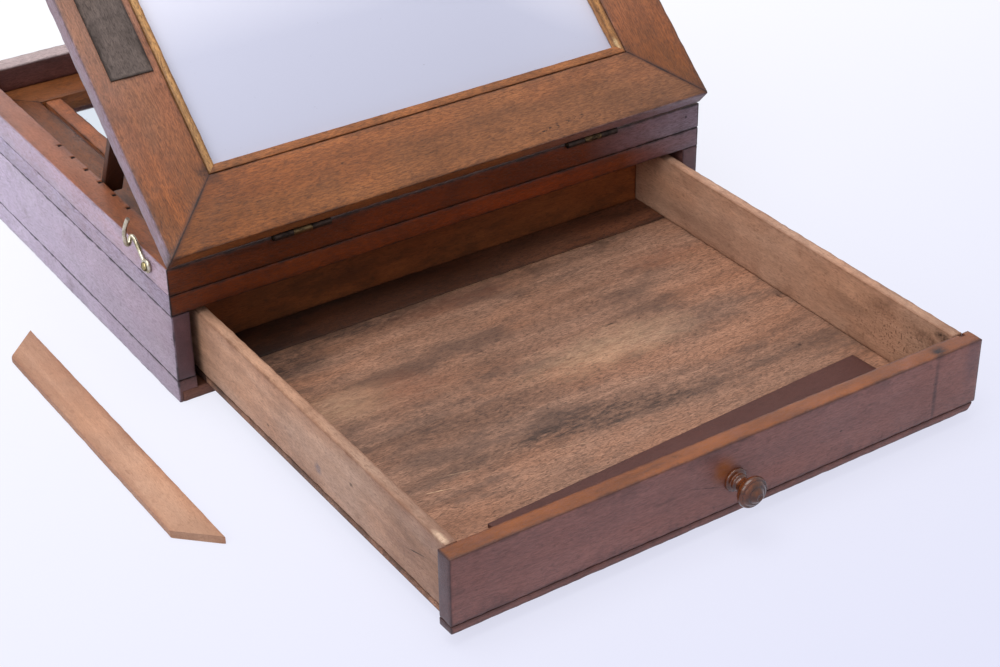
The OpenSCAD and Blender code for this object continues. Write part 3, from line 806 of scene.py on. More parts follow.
@contextmanager
def editing(piece: bpy.types.Object) -> Iterator[None]:
    """Opens a piece in edit mode.

    Args:
        piece: The piece.

    Returns:
        Nothing, while the piece is open.
    """
    pick(piece)
    bpy.ops.object.mode_set(mode="EDIT")
    try:
        yield
    finally:
        bpy.ops.object.mode_set(mode="OBJECT")


def settle(piece: bpy.types.Object, bench: Optional[Matrix] = None) -> None:
    """Moves a piece from its working frame to its place and writes the place into its mesh.

    Args:
        piece: The piece.
        bench: The working frame, or None if the piece only moves with its own place.
    """
    pick(piece)
    if bench is not None:
        piece.matrix_world = bench @ piece.matrix_world
    bpy.ops.object.transform_apply(location=True, rotation=True, scale=True)


def block(name: str, low: Vector, high: Vector) -> bpy.types.Object:
    """Adds a block between two corners.

    Args:
        name: The block's name.
        low: Its low corner.
        high: Its high corner.

    Returns:
        The block, with no scale of its own.
    """
    deselect()
    bpy.ops.mesh.primitive_cube_add(size=1, location=(low + high) / 2, scale=high - low)
    piece = bpy.context.active_object
    piece.name = piece.data.name = name
    bpy.ops.object.transform_apply(location=True, rotation=True, scale=True)
    return piece


def slices(piece: bpy.types.Object, planes: Sequence[tuple[Vector, Vector]], remove: bool) -> None:
    """Cuts a piece by planes.

    Args:
        piece: The piece.
        planes: A point and a normal for each plane.
        remove: Whether what lies on the normal's side goes, and the cut is closed.
    """
    with editing(piece):
        bpy.ops.mesh.select_mode(type="FACE")
        for point, normal in planes:
            bpy.ops.mesh.select_all(action="SELECT")
            bpy.ops.mesh.bisect(plane_co=point, plane_no=normal, use_fill=remove, clear_outer=remove)


def finish_modifier(piece: bpy.types.Object, kind: str, **settings: Any) -> None:
    """Adds a modifier to a piece and applies it.

    Args:
        piece: The piece.
        kind: The modifier's type.
        **settings: Properties of the modifier.
    """
    modifier = piece.modifiers.new(kind.title(), kind)
    for key, value in settings.items():
        setattr(modifier, key, value)
    pick(piece)
    bpy.ops.object.modifier_apply(modifier=modifier.name)


def comb(piece: bpy.types.Object, axis: int, pitch: float) -> None:
    """Cuts every edge that runs along an axis into equal parts of about the given pitch.

    Args:
        piece: The piece.
        axis: The axis, 0 to 2.
        pitch: Length of a part.
    """
    mesh = piece.data
    longest = 0.0
    chosen = []
    for edge in mesh.edges:
        run = mesh.vertices[edge.vertices[1]].co - mesh.vertices[edge.vertices[0]].co
        if abs(run[axis]) > 0.97 * run.length and run.length > 3 * pitch:
            chosen.append(edge.index)
            longest = max(longest, run.length)
    if not chosen:
        return
    with editing(piece):
        bpy.ops.mesh.select_mode(type="EDGE")
        bpy.ops.mesh.select_all(action="DESELECT")
    for index in chosen:
        mesh.edges[index].select = True
    with editing(piece):
        bpy.ops.mesh.subdivide(number_cuts=max(1, min(90, round(longest / pitch))))


def carve(piece: bpy.types.Object, cutter: bpy.types.Object) -> None:
    """Takes a cutter's shape out of a piece, and removes the cutter."""
    finish_modifier(piece, "BOOLEAN", object=cutter, operation="DIFFERENCE", solver="EXACT")
    bpy.data.objects.remove(cutter)


def smooth(piece: bpy.types.Object, degrees: float = 32.0) -> None:
    """Shades a piece smooth, apart from edges sharper than the given angle."""
    pick(piece)
    bpy.ops.object.shade_smooth_by_angle(angle=math.radians(degrees))


def turned(
    name: str, profile: Sequence[tuple[float, float]], start: Vector, axis: Vector, sides: int
) -> bpy.types.Object:
    """Turns a piece: a disc is extruded along its axis and resized, point by point.

    Args:
        name: The piece's name.
        profile: Radius and distance along the axis at each point, in millimetres.
        start: Where the axis starts.
        axis: The axis.
        sides: Number of sides.

    Returns:
        The piece, closed at both ends.
    """
    deselect()
    turn = axis.to_track_quat("Z", "Y").to_euler()
    bpy.ops.mesh.primitive_circle_add(
        vertices=sides, radius=profile[0][0] * MM, fill_type="NGON", location=start, rotation=turn
    )
    piece = bpy.context.active_object
    piece.name = piece.data.name = name
    settle(piece)
    with editing(piece):
        bpy.ops.mesh.select_mode(type="FACE")
        bpy.ops.mesh.select_all(action="SELECT")
        for (radius, out), (next_radius, next_out) in zip(profile, profile[1:]):
            bpy.ops.mesh.extrude_region_move(TRANSFORM_OT_translate={"value": axis * (next_out - out) * MM})
            grow = next_radius / radius
            middle = start + axis * next_out * MM
            bpy.ops.transform.resize(value=(grow, grow, grow), center_override=middle)
        bpy.ops.mesh.select_all(action="SELECT")
        bpy.ops.mesh.normals_make_consistent(inside=False)
    return piece


class Bench:
    """Reads where the frame's nodes are, in a working frame of one's choice."""

    def __init__(self, frame: dict[str, Any]) -> None:
        """Keeps the frame and the material slot of each node."""
        self.nodes = frame["nodes"]
        self.joints = {joint["name"]: joint for joint in frame["joints"]}
        self.slots = {row["node"]: row["material_slot"] for row in frame["record"]["subparts"]}

    def extent(self, node: str, bench: Matrix = Matrix()) -> Extent:
        """Gives a node's corners in a working frame.

        Args:
            node: The node.
            bench: The working frame.

        Returns:
            The low and the high corner.
        """
        back = bench.inverted()
        points = [back @ vertex.co for vertex in self.nodes[node].data.vertices]
        return (Vector(map(min, zip(*points))), Vector(map(max, zip(*points))))

    def lid(self) -> Matrix:
        """Gives the lid's working frame: flat, as if shut, with its origin on the hinge axis."""
        joint = self.joints["lid_tilt"]
        open_by = -math.radians(joint["range_deg"][0])
        return Matrix.Translation(joint["pos_m"]) @ Matrix.Rotation(open_by, 4, "X")

    def along(self, node: str, axis: str) -> Matrix:
        """Gives a working frame turned about X or Z so that its Y runs along a node's longest edge.

        Args:
            node: The node.
            axis: X or Z.

        Returns:
            The working frame.
        """
        mesh = self.nodes[node].data
        normals: dict[tuple[int, ...], list[Vector]] = {}
        for face in mesh.polygons:
            for key in face.edge_keys:
                normals.setdefault(tuple(sorted(key)), []).append(face.normal)
        run = Vector()
        for (first, second), (normal, *others) in normals.items():
            length = mesh.vertices[second].co - mesh.vertices[first].co
            if length.length > run.length and not (others and normal.dot(others[0]) > 0.9):
                run = length
        angle = math.atan2(run.z, run.y) if axis == "X" else math.atan2(-run.x, run.y)
        if abs(angle) > math.pi / 2:
            angle -= math.copysign(math.pi, angle)
        return Matrix.Rotation(angle, 4, axis)


@dataclass
class Board:
    """A wooden member, cut from a block in a working frame.

    Attributes:
        node: The frame's node that it stands for.
        timber: Its wood.
        grain: The direction of its grain.
        frame: Its working frame.
        ease: Width of its eased arrises.
        chips: Depth of the wear along them.
        mitres: Planes that its ends are cut to.
        hollows: Boxes that are cut out of it.
        cutters: Other shapes that are cut out of it.
        round_end: Radius that its low end is rounded to, along Y.
        faces: Tints of its faces.
        sweep: Colours that multiply its wood along its length.
        marks: Spots and stains.
        lines: Joints and cracks.
        span: Its corners in its working frame, or None for the node's own.
        name: Its name, or nothing for the node's with _board after it.
    """

    node: str
    timber: Timber
    grain: Grain
    frame: Matrix = field(default_factory=Matrix)
    ease: float = 0.0008
    chips: float = 0.0003
    mitres: list[tuple[Vector, Vector]] = field(default_factory=list)
    hollows: list[Extent] = field(default_factory=list)
    cutters: list[bpy.types.Object] = field(default_factory=list)
    round_end: float = 0.0
    faces: Sequence[Haze] = ()
    sweep: Sequence[tuple[float, Colour]] = ()
    marks: Sequence[Mark] = ()
    lines: list[Line] = field(default_factory=list)
    span: Optional[Extent] = None
    name: str = ""

    def build(self, bench: Bench, dresser: Dresser) -> bpy.types.Object:
        """Shapes, places and dresses the member.

        Args:
            bench: Gives the node's extent.
            dresser: Makes its material.

        Returns:
            The finished piece.
        """
        low, high = self.extent(bench)
        piece = block(self.name or self.node + "_board", low, high)
        if self.round_end:
            self.round_low_end(piece, low)
        self.margins(piece, low, high)
        width = min(self.ease, min(high - low) * THIN)
        finish_modifier(
            piece, "BEVEL", width=width, segments=2, limit_method="ANGLE", angle_limit=math.radians(30),
            use_clamp_overlap=True,
        )
        if self.mitres:
            slices(piece, self.mitres, remove=True)
        comb(piece, AXES[self.grain], WEAR_PITCH)
        if self.chips:
            self.wear_arrises(piece, low, high, width)
        for corner, far in self.hollows:
            carve(piece, block("cutter", corner, far))
        for cutter in self.cutters:
            carve(piece, cutter)
        with editing(piece):
            bpy.ops.mesh.select_all(action="SELECT")
            bpy.ops.mesh.fill_holes(sides=4)
        smooth(piece)
        settle(piece, self.frame)
        self.dress(piece, bench, dresser)
        return piece

    def extent(self, bench: Bench) -> Extent:
        """Gives the member's corners in its working frame."""
        return self.span or bench.extent(self.node, self.frame)

    def dress(self, piece: bpy.types.Object, bench: Bench, dresser: Dresser) -> None:
        """Gives a shaped member its material, and lets it stand for its node.

        Args:
            piece: The shaped member.
            bench: Gives the node's extent and slot.
            dresser: Makes the material.
        """
        material = dresser.timber(
            self.timber, self.node, self.extent(bench), self.frame, self.grain, self.faces, self.sweep,
            self.marks, self.lines,
        )
        piece.data.materials.clear()
        piece.data.materials.append(material)
        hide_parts(self.node)

    def margins(self, piece: bpy.types.Object, low: Vector, high: Vector) -> None:
        """Adds a line close to each arris, so that wear there leaves the faces flat.

        Args:
            piece: The block.
            low: Its low corner.
            high: Its high corner.
        """
        inset = min(MARGIN, min(high - low) * THIN)
        planes = []
        for axis in range(3):
            normal = Vector([float(axis == index) for index in range(3)])
            planes += [(low + normal * inset, normal), (high - normal * inset, normal)]
        slices(piece, planes, remove=False)
        slices(piece, [(point - normal * inset, normal) for point, normal in self.mitres], remove=False)

    def round_low_end(self, piece: bpy.types.Object, low: Vector) -> None:
        """Rounds the two edges of the end that is lowest along Y.

        Args:
            piece: The block.
            low: Its low corner.
        """
        mesh = piece.data
        with editing(piece):
            bpy.ops.mesh.select_mode(type="EDGE")
            bpy.ops.mesh.select_all(action="DESELECT")
        heights = [vertex.co.z for vertex in mesh.vertices]
        for edge in mesh.edges:
            ends = [mesh.vertices[index].co for index in edge.vertices]
            at_end = all(abs(end.y - low.y) < 1e-6 for end in ends)
            outer = any(all(abs(end.z - z) < 1e-6 for end in ends) for z in (min(heights), max(heights)))
            edge.select = at_end and outer
        with editing(piece):
            bpy.ops.mesh.bevel(offset=self.round_end, segments=6)

    def wear_arrises(self, piece: bpy.types.Object, low: Vector, high: Vector, width: float) -> None:
        """Pushes the arrises in by an uneven depth, never out.

        Args:
            piece: The member.
            low: Its low corner.
            high: Its high corner.
            width: Width of its arrises.
        """
        group = piece.vertex_groups.new(name="arris")
        near = []
        for vertex in piece.data.vertices:
            gaps = sorted(min(vertex.co[i] - low[i], high[i] - vertex.co[i]) for i in range(3))
            if gaps[1] < width * 1.1:
                near.append(vertex.index)
        group.add(near, 1.0, "REPLACE")
        texture = bpy.data.textures.get("chips") or bpy.data.textures.new("chips", "CLOUDS")
        texture.noise_scale = 0.007
        texture.noise_depth = 3
        texture.contrast = 2.2
        texture.use_clamp = True
        finish_modifier(
            piece, "DISPLACE", texture=texture, texture_coords="LOCAL", direction="NORMAL", mid_level=1.0,
            strength=self.chips, vertex_group="arris",
        )


def build_all(boards: Sequence[Board], body: str, bench: Bench, dresser: Dresser) -> list[bpy.types.Object]:
    """Builds boards and lets them ride on a body.

    Args:
        boards: The boards.
        body: The body's name.
        bench: Gives the nodes' extents.
        dresser: Makes their materials.

    Returns:
        The finished pieces.
    """
    pieces = []
    for board in boards:
        piece = board.build(bench, dresser)
        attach(piece, body)
        LOG.info("%s built, on %s", piece.name, body)
        pieces.append(piece)
    return pieces


class Side(IntEnum):
    """A member of a ring, in the order of the ring's nodes."""

    FRONT = 0
    BACK = 1
    LEFT = 2
    RIGHT = 3

    @property
    def grain(self) -> Grain:
        """Gives the direction of the member's grain."""
        return Grain.ACROSS if self < Side.LEFT else Grain.BACK


def ring_names(prefix: str) -> tuple[str, ...]:
    """Gives the names of a ring's four nodes."""
    return tuple(f"{prefix}_{side.name.lower()}" for side in Side)


@dataclass
class Ring:
    """Four mitred members round a rectangle.

    Attributes:
        nodes: The four nodes, or None where a member is missing.
        frame: The working frame.
    """

    nodes: tuple[Optional[str], ...]
    frame: Matrix = field(default_factory=Matrix)

    def corners(self, bench: Bench) -> tuple[list[float], list[float]]:
        """Gives the outer and the inner rectangle as [left, right, front, back].

        Args:
            bench: Gives the nodes' extents.

        Returns:
            The two rectangles.
        """
        extents = [bench.extent(node, self.frame) if node else None for node in self.nodes]
        front, back, left, right = extents
        known = [pair for pair in extents if pair]
        outer = [min(p[0].x for p in known), max(p[1].x for p in known),
                 min(p[0].y for p in known), max(p[1].y for p in known)]
        width = front[1].y - front[0].y
        inner = [left[1].x if left else outer[0] + width, right[0].x if right else outer[1] - width,
                 front[1].y, back[0].y if back else outer[3] - width]
        return outer, inner

    def mitres(self, bench: Bench, side: Side) -> list[tuple[Vector, Vector]]:
        """Gives the two planes that a member's ends are cut to.

        Args:
            bench: Gives the nodes' extents.
            side: The member.

        Returns:
            A point of each plane, and a normal that points out of the member.
        """
        outer, inner = self.corners(bench)
        member = bench.extent(self.nodes[side], self.frame)
        middle = (member[0] + member[1]) / 2
        planes = []
        ends = {Side.FRONT: ((0, 2), (1, 2)), Side.BACK: ((0, 3), (1, 3)),
                Side.LEFT: ((0, 2), (0, 3)), Side.RIGHT: ((1, 2), (1, 3))}
        for x_side, y_side in ends[side]:
            point = Vector((outer[x_side], outer[y_side], middle.z))
            run = Vector((inner[x_side], inner[y_side], middle.z)) - point
            normal = Vector((run.y, -run.x, 0.0)).normalized()
            planes.append((point, -normal if normal.dot(middle - point) > 0 else normal))
        return planes

    def joints(self, bench: Bench, side: Side) -> list[Line]:
        """Gives the dark lines along a member's mitres."""
        return [Line(tuple(point), tuple(normal)) for point, normal in self.mitres(bench, side)]

    def member(self, bench: Bench, side: Side, timber: Timber, **settings: Any) -> Board:
        """Gives one member as a board.

        Args:
            bench: Gives the nodes' extents.
            side: The member.
            timber: Its wood.
            **settings: More of the board's fields.

        Returns:
            The board, with its ends cut to the mitres.
        """
        mitres = self.mitres(bench, side)
        return Board(self.nodes[side], timber, side.grain, self.frame, mitres=mitres, **settings)


def pane_seat(
    bench: Bench, node: str, drop: float, frame: Matrix = Matrix(), play: float = 0.00025
) -> Extent:
    """Gives the box that is cut out of a ring for its pane.

    Args:
        bench: Gives the pane's extent.
        node: The pane's node.
        drop: How far the box reaches below the pane.
        frame: The ring's working frame.
        play: The gap left round the pane.

    Returns:
        The box's corners.
    """
    low, high = bench.extent(node, frame)
    gap = Vector((play, play, 0))
    return low - gap - Vector((0, 0, drop)), high + gap


def copied(piece: bpy.types.Object, name: str, shift: Vector) -> bpy.types.Object:
    """Copies a piece, with its own mesh, and moves the copy.

    Args:
        piece: The piece.
        name: The copy's name.
        shift: How far the copy is moved.

    Returns:
        The copy.
    """
    copy = bpy.data.objects.new(name, piece.data.copy())
    copy.data.name = name
    bpy.context.scene.collection.objects.link(copy)
    settle(copy, Matrix.Translation(shift))
    return copy


def repeat(piece: bpy.types.Object, places: Sequence[Vector]) -> list[bpy.types.Object]:
    """Copies a piece that stands at the origin to each place, and removes it."""
    copies = [copied(piece, "cutter", place) for place in places]
    bpy.data.objects.remove(piece)
    return copies


def wedge_cutters(places: Sequence[Vector], length: float, width: float) -> list[bpy.types.Object]:
    """Adds square bars along X, standing on an edge, to cut nicks with.

    Args:
        places: Middles of the bars.
        length: Their length.
        width: Width of their sides.

    Returns:
        The bars.
    """
    half = Vector((length, width, width)) / 2
    cutter = block("cutter", -half, half)
    settle(cutter, Matrix.Rotation(math.pi / 4, 4, "X"))
    return repeat(cutter, places)


def rod_cutters(places: Sequence[Vector], length: float, radius: float) -> list[bpy.types.Object]:
    """Adds round bars along X to cut gutters with.

    Args:
        places: Middles of the bars.
        length: Their length.
        radius: Their radius.

    Returns:
        The bars.
    """
    deselect()
    bpy.ops.mesh.primitive_cylinder_add(
        vertices=24, radius=radius, depth=length, rotation=(0.1, math.pi / 2, 0)
    )
    cutter = bpy.context.active_object
    settle(cutter)
    return repeat(cutter, places)


# ---- Sub-assemblies ----

# Painted reflection: a lavender sheen on left faces, where the white surroundings are reflected at a grazing
# angle.
CASE_PAINTED_SHEEN = Haze(Face.LEFT, tone(226, 209, 233), 0.45, 0.98)
# Painted reflection: a cool grey on front faces toward their right ends, where the bright background is
# reflected.
COOL_PAINTED_REFLECTION = tone(150, 132, 146)
# Painted sheen: a grey sheen on the lid stiles' tops, growing toward the back.
PAINTED_TOP_SHEEN = Haze(Face.TOP, tone(158, 138, 142), 0.0, 0.55, 0.1)


@dataclass
class Case:
    """The base, plinth, sides and back, and the mirror in its frame."""

    bench: Bench
    dresser: Dresser
    body: str = "case"
    front_play: float = 0.0003
    guide_top: float = 0.03
    pane_drop: float = 0.02

    def build(self) -> None:
        """Builds the case's boards."""
        build_all(self.base() + self.sides() + self.mirror_frame(), self.body, self.bench, self.dresser)

    def base(self) -> list[Board]:
        """Gives the base board and the plinth strips round it."""
        low, high = self.bench.extent("base_board")
        seat = (low - Vector((0, PAST, PAST)), high)
        inner = self.bench.extent("case_side_left")[1].x
        front = self.bench.extent("drawer_front")
        depth = front[1].y - front[0].y + self.front_play
        guide = (Vector((inner, low.y - PAST, -PAST)), Vector((-inner, low.y + depth, self.guide_top)))
        base_haze = [Haze(Face.FRONT, tone(150, 100, 84), 0.5, 0.5)]
        return [
            Board("base_board", DARK_WOOD, Grain.ACROSS, faces=base_haze),
            Board("plinth_left", CASE_WOOD, Grain.BACK, hollows=[seat, guide], chips=0.0004,
                  faces=[CASE_PAINTED_SHEEN]),
            Board("plinth_right", CASE_WOOD, Grain.BACK, hollows=[seat, guide], chips=0.0004),
            Board("plinth_back", CASE_WOOD, Grain.ACROSS, hollows=[seat], chips=0.0004),
        ]

    def sides(self) -> list[Board]:
        """Gives the case's sides and back."""
        front_end = [Haze(Face.FRONT, tone(96, 72, 82), 0.35, 0.35)]
        return [
            Board("case_side_left", CASE_WOOD, Grain.BACK, faces=[CASE_PAINTED_SHEEN, *front_end],
                  sweep=stops((0.0, 225, 218, 222), (0.3, 255, 255, 255))),
            Board("case_side_right", CASE_WOOD, Grain.BACK, faces=front_end),
            Board("case_back", CASE_WOOD, Grain.ACROSS),
        ]

    def mirror_frame(self) -> list[Board]:
        """Gives the mirror's mitred frame and the two fillets that lie on the mirror."""
        ring = Ring(ring_names("mirror_frame"))
        seat = pane_seat(self.bench, "mirror_glass", self.pane_drop)
        # Painted reflections: lavender on the left member's outer face, and cool grey toward the front
        # member's right end, where its sweep also turns lavender-grey.
        hazes = {
            Side.FRONT: [Haze(Face.FRONT, COOL_PAINTED_REFLECTION, 0.0, 0.7, 0.84)],
            Side.LEFT: [Haze(Face.LEFT, tone(198, 187, 216), 0.62, 0.95)],
        }
        sweeps = {
            Side.FRONT: stops(
                (0.0, 215, 205, 190), (0.35, 250, 225, 200), (0.75, 240, 205, 170), (1.0, 225, 215, 225)
            ),
            Side.LEFT: stops(
                (0.0, 180, 185, 205), (0.3, 240, 236, 236), (0.5, 255, 250, 245), (1.0, 200, 192, 192)
            ),
        }
        boards = [
            ring.member(
                self.bench, side, SHADED_RED_WOOD if side is Side.FRONT else FRAME_WOOD, hollows=[seat],
                lines=ring.joints(self.bench, side), faces=hazes.get(side, ()), sweep=sweeps.get(side, ()),
            )
            for side in Side
        ]
        for name in ("mirror_fillet_left", "mirror_fillet_right"):
            boards.append(Board(name, TRAY_WOOD, Grain.BACK, chips=0.0004))
        return boards


@dataclass
class Tray:
    """The tray walls on top of the case, with the hinge recesses and the prop legs' nicks."""

    bench: Bench
    dresser: Dresser
    body: str = "case"
    nick_first: float = 0.085
    nick_pitch: float = 0.021
    nick_count: int = 6
    nick_width: float = 0.003
    nick_depth: float = 0.0035
    nick_past: float = 0.0003

    def build(self) -> None:
        """Builds the four walls."""
        ring = Ring(ring_names("tray_wall"))
        boards = []
        # The front wall's sweep dims the wood, partly as painted shade under the lid's overhang, and turns it
        # lavender-grey at the right end as a painted reflection, with the cool grey tint on its front face.
        sweep = stops(
            (0.0, 205, 190, 170), (0.2, 215, 195, 175), (0.45, 228, 204, 180), (0.72, 225, 200, 190),
            (1.0, 235, 230, 245),
        )
        for side in Side:
            lines = ring.joints(self.bench, side)
            board = ring.member(self.bench, side, TRAY_WOOD, lines=lines, ease=0.0007, chips=0.0003)
            if side is Side.FRONT:
                board.timber = SHADED_RED_WOOD
                board.sweep = sweep
                board.faces = [
                    Haze(Face.FRONT, COOL_PAINTED_REFLECTION, 0.0, 0.95, 0.76),
                    Haze(Face.TOP, tone(122, 84, 76), 0.6, 0.6),
                ]
                front = self.bench.extent(board.node)[0].y / MM
                board.marks = [Mark((188.7, front, 86.7), (1.4, 3, 1.4), tone(20, 14, 14), 0.95, 0.4)]
                board.hollows, board.cutters = Hinge().recesses(self.bench, Matrix(), "hinge_leaves_lower")
            if side is Side.BACK:
                board.timber = WALL_DARK
                board.faces = [Haze(Face.TOP, tone(214, 192, 188), 0.85, 0.85)]
            if side is Side.LEFT:
                board.timber = LEFT_WALL_WOOD
                board.ease = 0.0005
                board.faces = [
                    # Painted reflection: lavender on the wall's outer face.
                    Haze(Face.LEFT, tone(200, 187, 212), 0.72, 0.94),
                    Haze(Face.TOP, tone(150, 114, 108), 0.0, 0.75, 0.2),
                ]
            if side.grain is Grain.BACK:
                board.cutters, board.marks = self.nicks(board.node, ring.corners(self.bench)[0][2])
            boards.append(board)
        build_all(boards, self.body, self.bench, self.dresser)

    def nicks(self, node: str, front: float) -> tuple[list[bpy.types.Object], list[Mark]]:
        """Gives the cutters of one side wall's nicks, and the painted shade in them.

        Args:
            node: The wall.
            front: The ring's front.

        Returns:
            The cutters and the marks.
        """
        low, high = self.bench.extent(node)
        inner = high.x if low.x < 0 else low.x
        inward = math.copysign(self.nick_depth / 2, inner)
        places = [Vector((inner + inward, front + self.nick_first + index * self.nick_pitch, high.z))
                  for index in range(self.nick_count)]
        cutters = wedge_cutters(places, self.nick_depth + self.nick_past, self.nick_width)
        deep = Vector((0, 0, self.nick_width / 2))
        # Painted shade: a near-black spot deep in each nick, where shade falls.
        dark = tone(24, 14, 12)
        marks = [Mark(tuple((place - deep) / MM), (2.6, 2.6, 2.0), dark, 2.2, 0.1) for place in places]
        return cutters, marks


@dataclass(frozen=True)
class Hinge:
    """A butt hinge's sizes.

    Attributes:
        length: Length of the leaves.
        leaf: Thickness of a leaf.
        depth: How far a leaf reaches back from the axis.
        knuckle: Radius of the gutter for the knuckle.
        reach: How far a recess is cut out past the wood's surface, the play included.
        play: The gap left over and under a leaf.
        end_play: The gap left at the knuckle's ends, both together.
    """

    length: float = 0.04
    leaf: float = 0.0012
    depth: float = 0.013
    knuckle: float = 0.0026
    reach: float = 0.002
    play: float = 0.00015
    end_play: float = 0.0006

    def recesses(self, bench: Bench, frame: Matrix, node: str) -> tuple[list[Extent], list[bpy.types.Object]]:
        """Gives what is cut out of a member for its two hinges.

        Args:
            bench: Gives the nodes' extents.
            frame: The member's working frame.
            node: The node of the hinge leaves that are let into it.

        Returns:
            The boxes for the leaves, and the cutters for the knuckles' gutters.
        """
        low, high = bench.extent(node, frame)
        axis = frame.inverted() @ Vector(bench.joints["lid_tilt"]["pos_m"])
        upward = 1 if (low.z + high.z) / 2 > axis.z else -1
        outward, inward = self.reach - self.play, self.play + self.leaf
        heights = sorted((axis.z - upward * outward, axis.z + upward * inward))
        half = self.length / 2
        places = [Vector((side * (high.x - half), axis.y, axis.z)) for side in (-1, 1)]
        hollows = [(Vector((place.x - half, axis.y - PAST, heights[0])),
                    Vector((place.x + half, axis.y + self.depth, heights[1]))) for place in places]
        return hollows, rod_cutters(places, self.length + self.end_play, self.knuckle)


@dataclass
class Lid:
    """The glazed lid: its frame with the seats of the props' plates, its beads and its fillets.

    Attributes:
        bench: Gives the nodes' extents.
        dresser: Makes the materials.
        body: The body that the lid is.
        pane_drop: How far the frame is cut away behind the glass.
        plate_width: Width of a prop's plate.
        plate_rise: How far a plate's seat is cut out past the wood's surface.
        top: Height of the frame's face over the hinge axis, in millimetres.
        bead_top: Height of the beads, in millimetres.
    """

    bench: Bench
    dresser: Dresser
    body: str = "lid"
    pane_drop: float = 0.03
    plate_width: float = 0.0135
    plate_rise: float = 0.002
    top: float = 14.2
    bead_top: float = 14.0

    def build(self) -> None:
        """Builds the lid's members in its flat working frame."""
        frame = self.bench.lid()
        ring = Ring(("lid_rail_front", "lid_rail_back", "lid_stile_left", "lid_stile_right"), frame)
        seat = pane_seat(self.bench, "opal_glass", self.pane_drop, frame)
        boards = []
        for side in Side:
            board = ring.member(
                self.bench, side, MAHOGANY, ease=0.0014, chips=0.0004, lines=self.mitre_lines(ring, side),
                hollows=[seat],
            )
            if side is Side.FRONT:
                self.finish_front(board)
            if side.grain is Grain.BACK:
                # The sweep darkens the stiles' front ends and turns them bluer toward the back.
                board.faces = [PAINTED_TOP_SHEEN]
                board.sweep = stops(
                    (0.0, 208, 198, 190), (0.2, 234, 224, 216), (0.45, 250, 252, 255), (1.0, 236, 246, 255)
                )
                board.hollows += [self.plate_seat(frame, side)]
            if side is Side.LEFT:
                # Painted reflection: lavender on the left stile's outer face.
                board.faces += [Haze(Face.LEFT, tone(156, 138, 154), 0.96, 0.93)]
                board.marks = self.strip_marks(frame)
            board.marks = [*board.marks, *self.corner_stains(ring)]
            if side is Side.FRONT:
                front = self.bench.extent(board.node, frame)[0] / MM
                # Painted reflection: a lavender line along the front rail's lower front arris, where the
                # floor is reflected.
                edge = Mark((0, front.y, front.z), (240, 1.1, 1.3), tone(112, 96, 128), 0.75, 0.5)
                board.marks.append(edge)
            boards.append(board)
        boards += self.beads(frame) + self.fillets(frame)
        build_all(boards, self.body, self.bench, self.dresser)

    def finish_front(self, board: Board) -> None:
        """Gives the front rail its hinge recesses, a painted reflection toward its right end, and worm holes.

        Args:
            board: The front rail.
        """
        boxes, board.cutters = Hinge().recesses(self.bench, board.frame, "hinge_leaves_upper")
        board.hollows += boxes
        # Painted reflection: lavender on the front face and a faint grey on the top, growing toward the right
        # end; the sweep also cools that end.
        board.faces = [
            Haze(Face.FRONT, tone(158, 140, 160), 0.0, 0.9, 0.6),
            Haze(Face.TOP, tone(150, 126, 120), 0.0, 0.14, 0.2),
        ]
        board.marks = self.worm_holes(board)
        board.sweep = stops(
            (0.0, 222, 212, 200), (0.12, 232, 222, 212), (0.3, 252, 250, 248), (0.6, 250, 250, 252),
            (1.0, 234, 238, 246),
        )

    def strip_marks(self, frame: Matrix) -> list[Mark]:
        """Gives the left stile's hole, and the glue and wear about its abrasive strip."""
        low, high = (corner / MM for corner in self.bench.extent("abrasive_strip", frame))
        glue = ((low.x + high.x) / 2, low.y, self.top)
        return [
            Mark((-178.5, 39.4, self.top), (0.9, 0.9, 1)),
            Mark(glue, (14, 2.6, 2), tone(62, 34, 24), 0.9, 1.3),
            Mark((high.x, low.y + 40, self.top), (1.6, 60, 2), tone(70, 38, 26), 0.7, 1.3),
        ]

    def mitre_lines(self, ring: Ring, side: Side) -> list[Line]:
        """Gives a member's mitres as a soft dark band with a black line in it."""
        thin = ring.joints(self.bench, side)
        return [Line(line.point, line.normal, 0.0032, tone(88, 52, 36)) for line in thin] + thin

    def corner_stains(self, ring: Ring) -> list[Mark]:
        """Gives the dark stains about the frame's mitred corners.

        Args:
            ring: The frame of the lid.

        Returns:
            The stains.
        """
        outer, inner = ring.corners(self.bench)
        top = self.bench.extent("lid_rail_front", ring.frame)[1].z / MM
        stains = []
        for x_side, strength in ((0, 0.95), (1, 0.45)):
            for y_side in (2, 3):
                for corner, half in ((inner, 9), (outer, 14)):
                    place = (corner[x_side] / MM, corner[y_side] / MM, top)
                    stains.append(Mark(place, (half, half, 20), strength=strength, ragged=1.4))
        return stains

    def worm_holes(self, board: Board) -> list[Mark]:
        """Gives the cluster of small holes near the front rail's right end, and the odd one elsewhere.

        Args:
            board: The front rail.

        Returns:
            The holes as marks.
        """
        top = self.bench.extent("lid_rail_front", board.frame)[1].z / MM
        dark = tone(24, 14, 12)
        runs = [(70, 9.5, 9, 2.6), (84, 10.5, 11, 3.4), (97, 11.5, 9, 2.8), (118, 9, 14, 2.2)]
        holes = [Mark((x, y, top), (long, wide, 2), dark, 1.0, 0.5, True) for x, y, long, wide in runs]
        spots = [(66, 8.6), (75, 10.4), (80.5, 11.3), (88, 9.8), (91, 12.4), (101, 12.6), (128, 6.4),
                 (-72, 28)]
        return holes + [Mark((x, y, top), (1.5, 0.7, 1.0), dark, 0.9, 1.3) for x, y in spots]

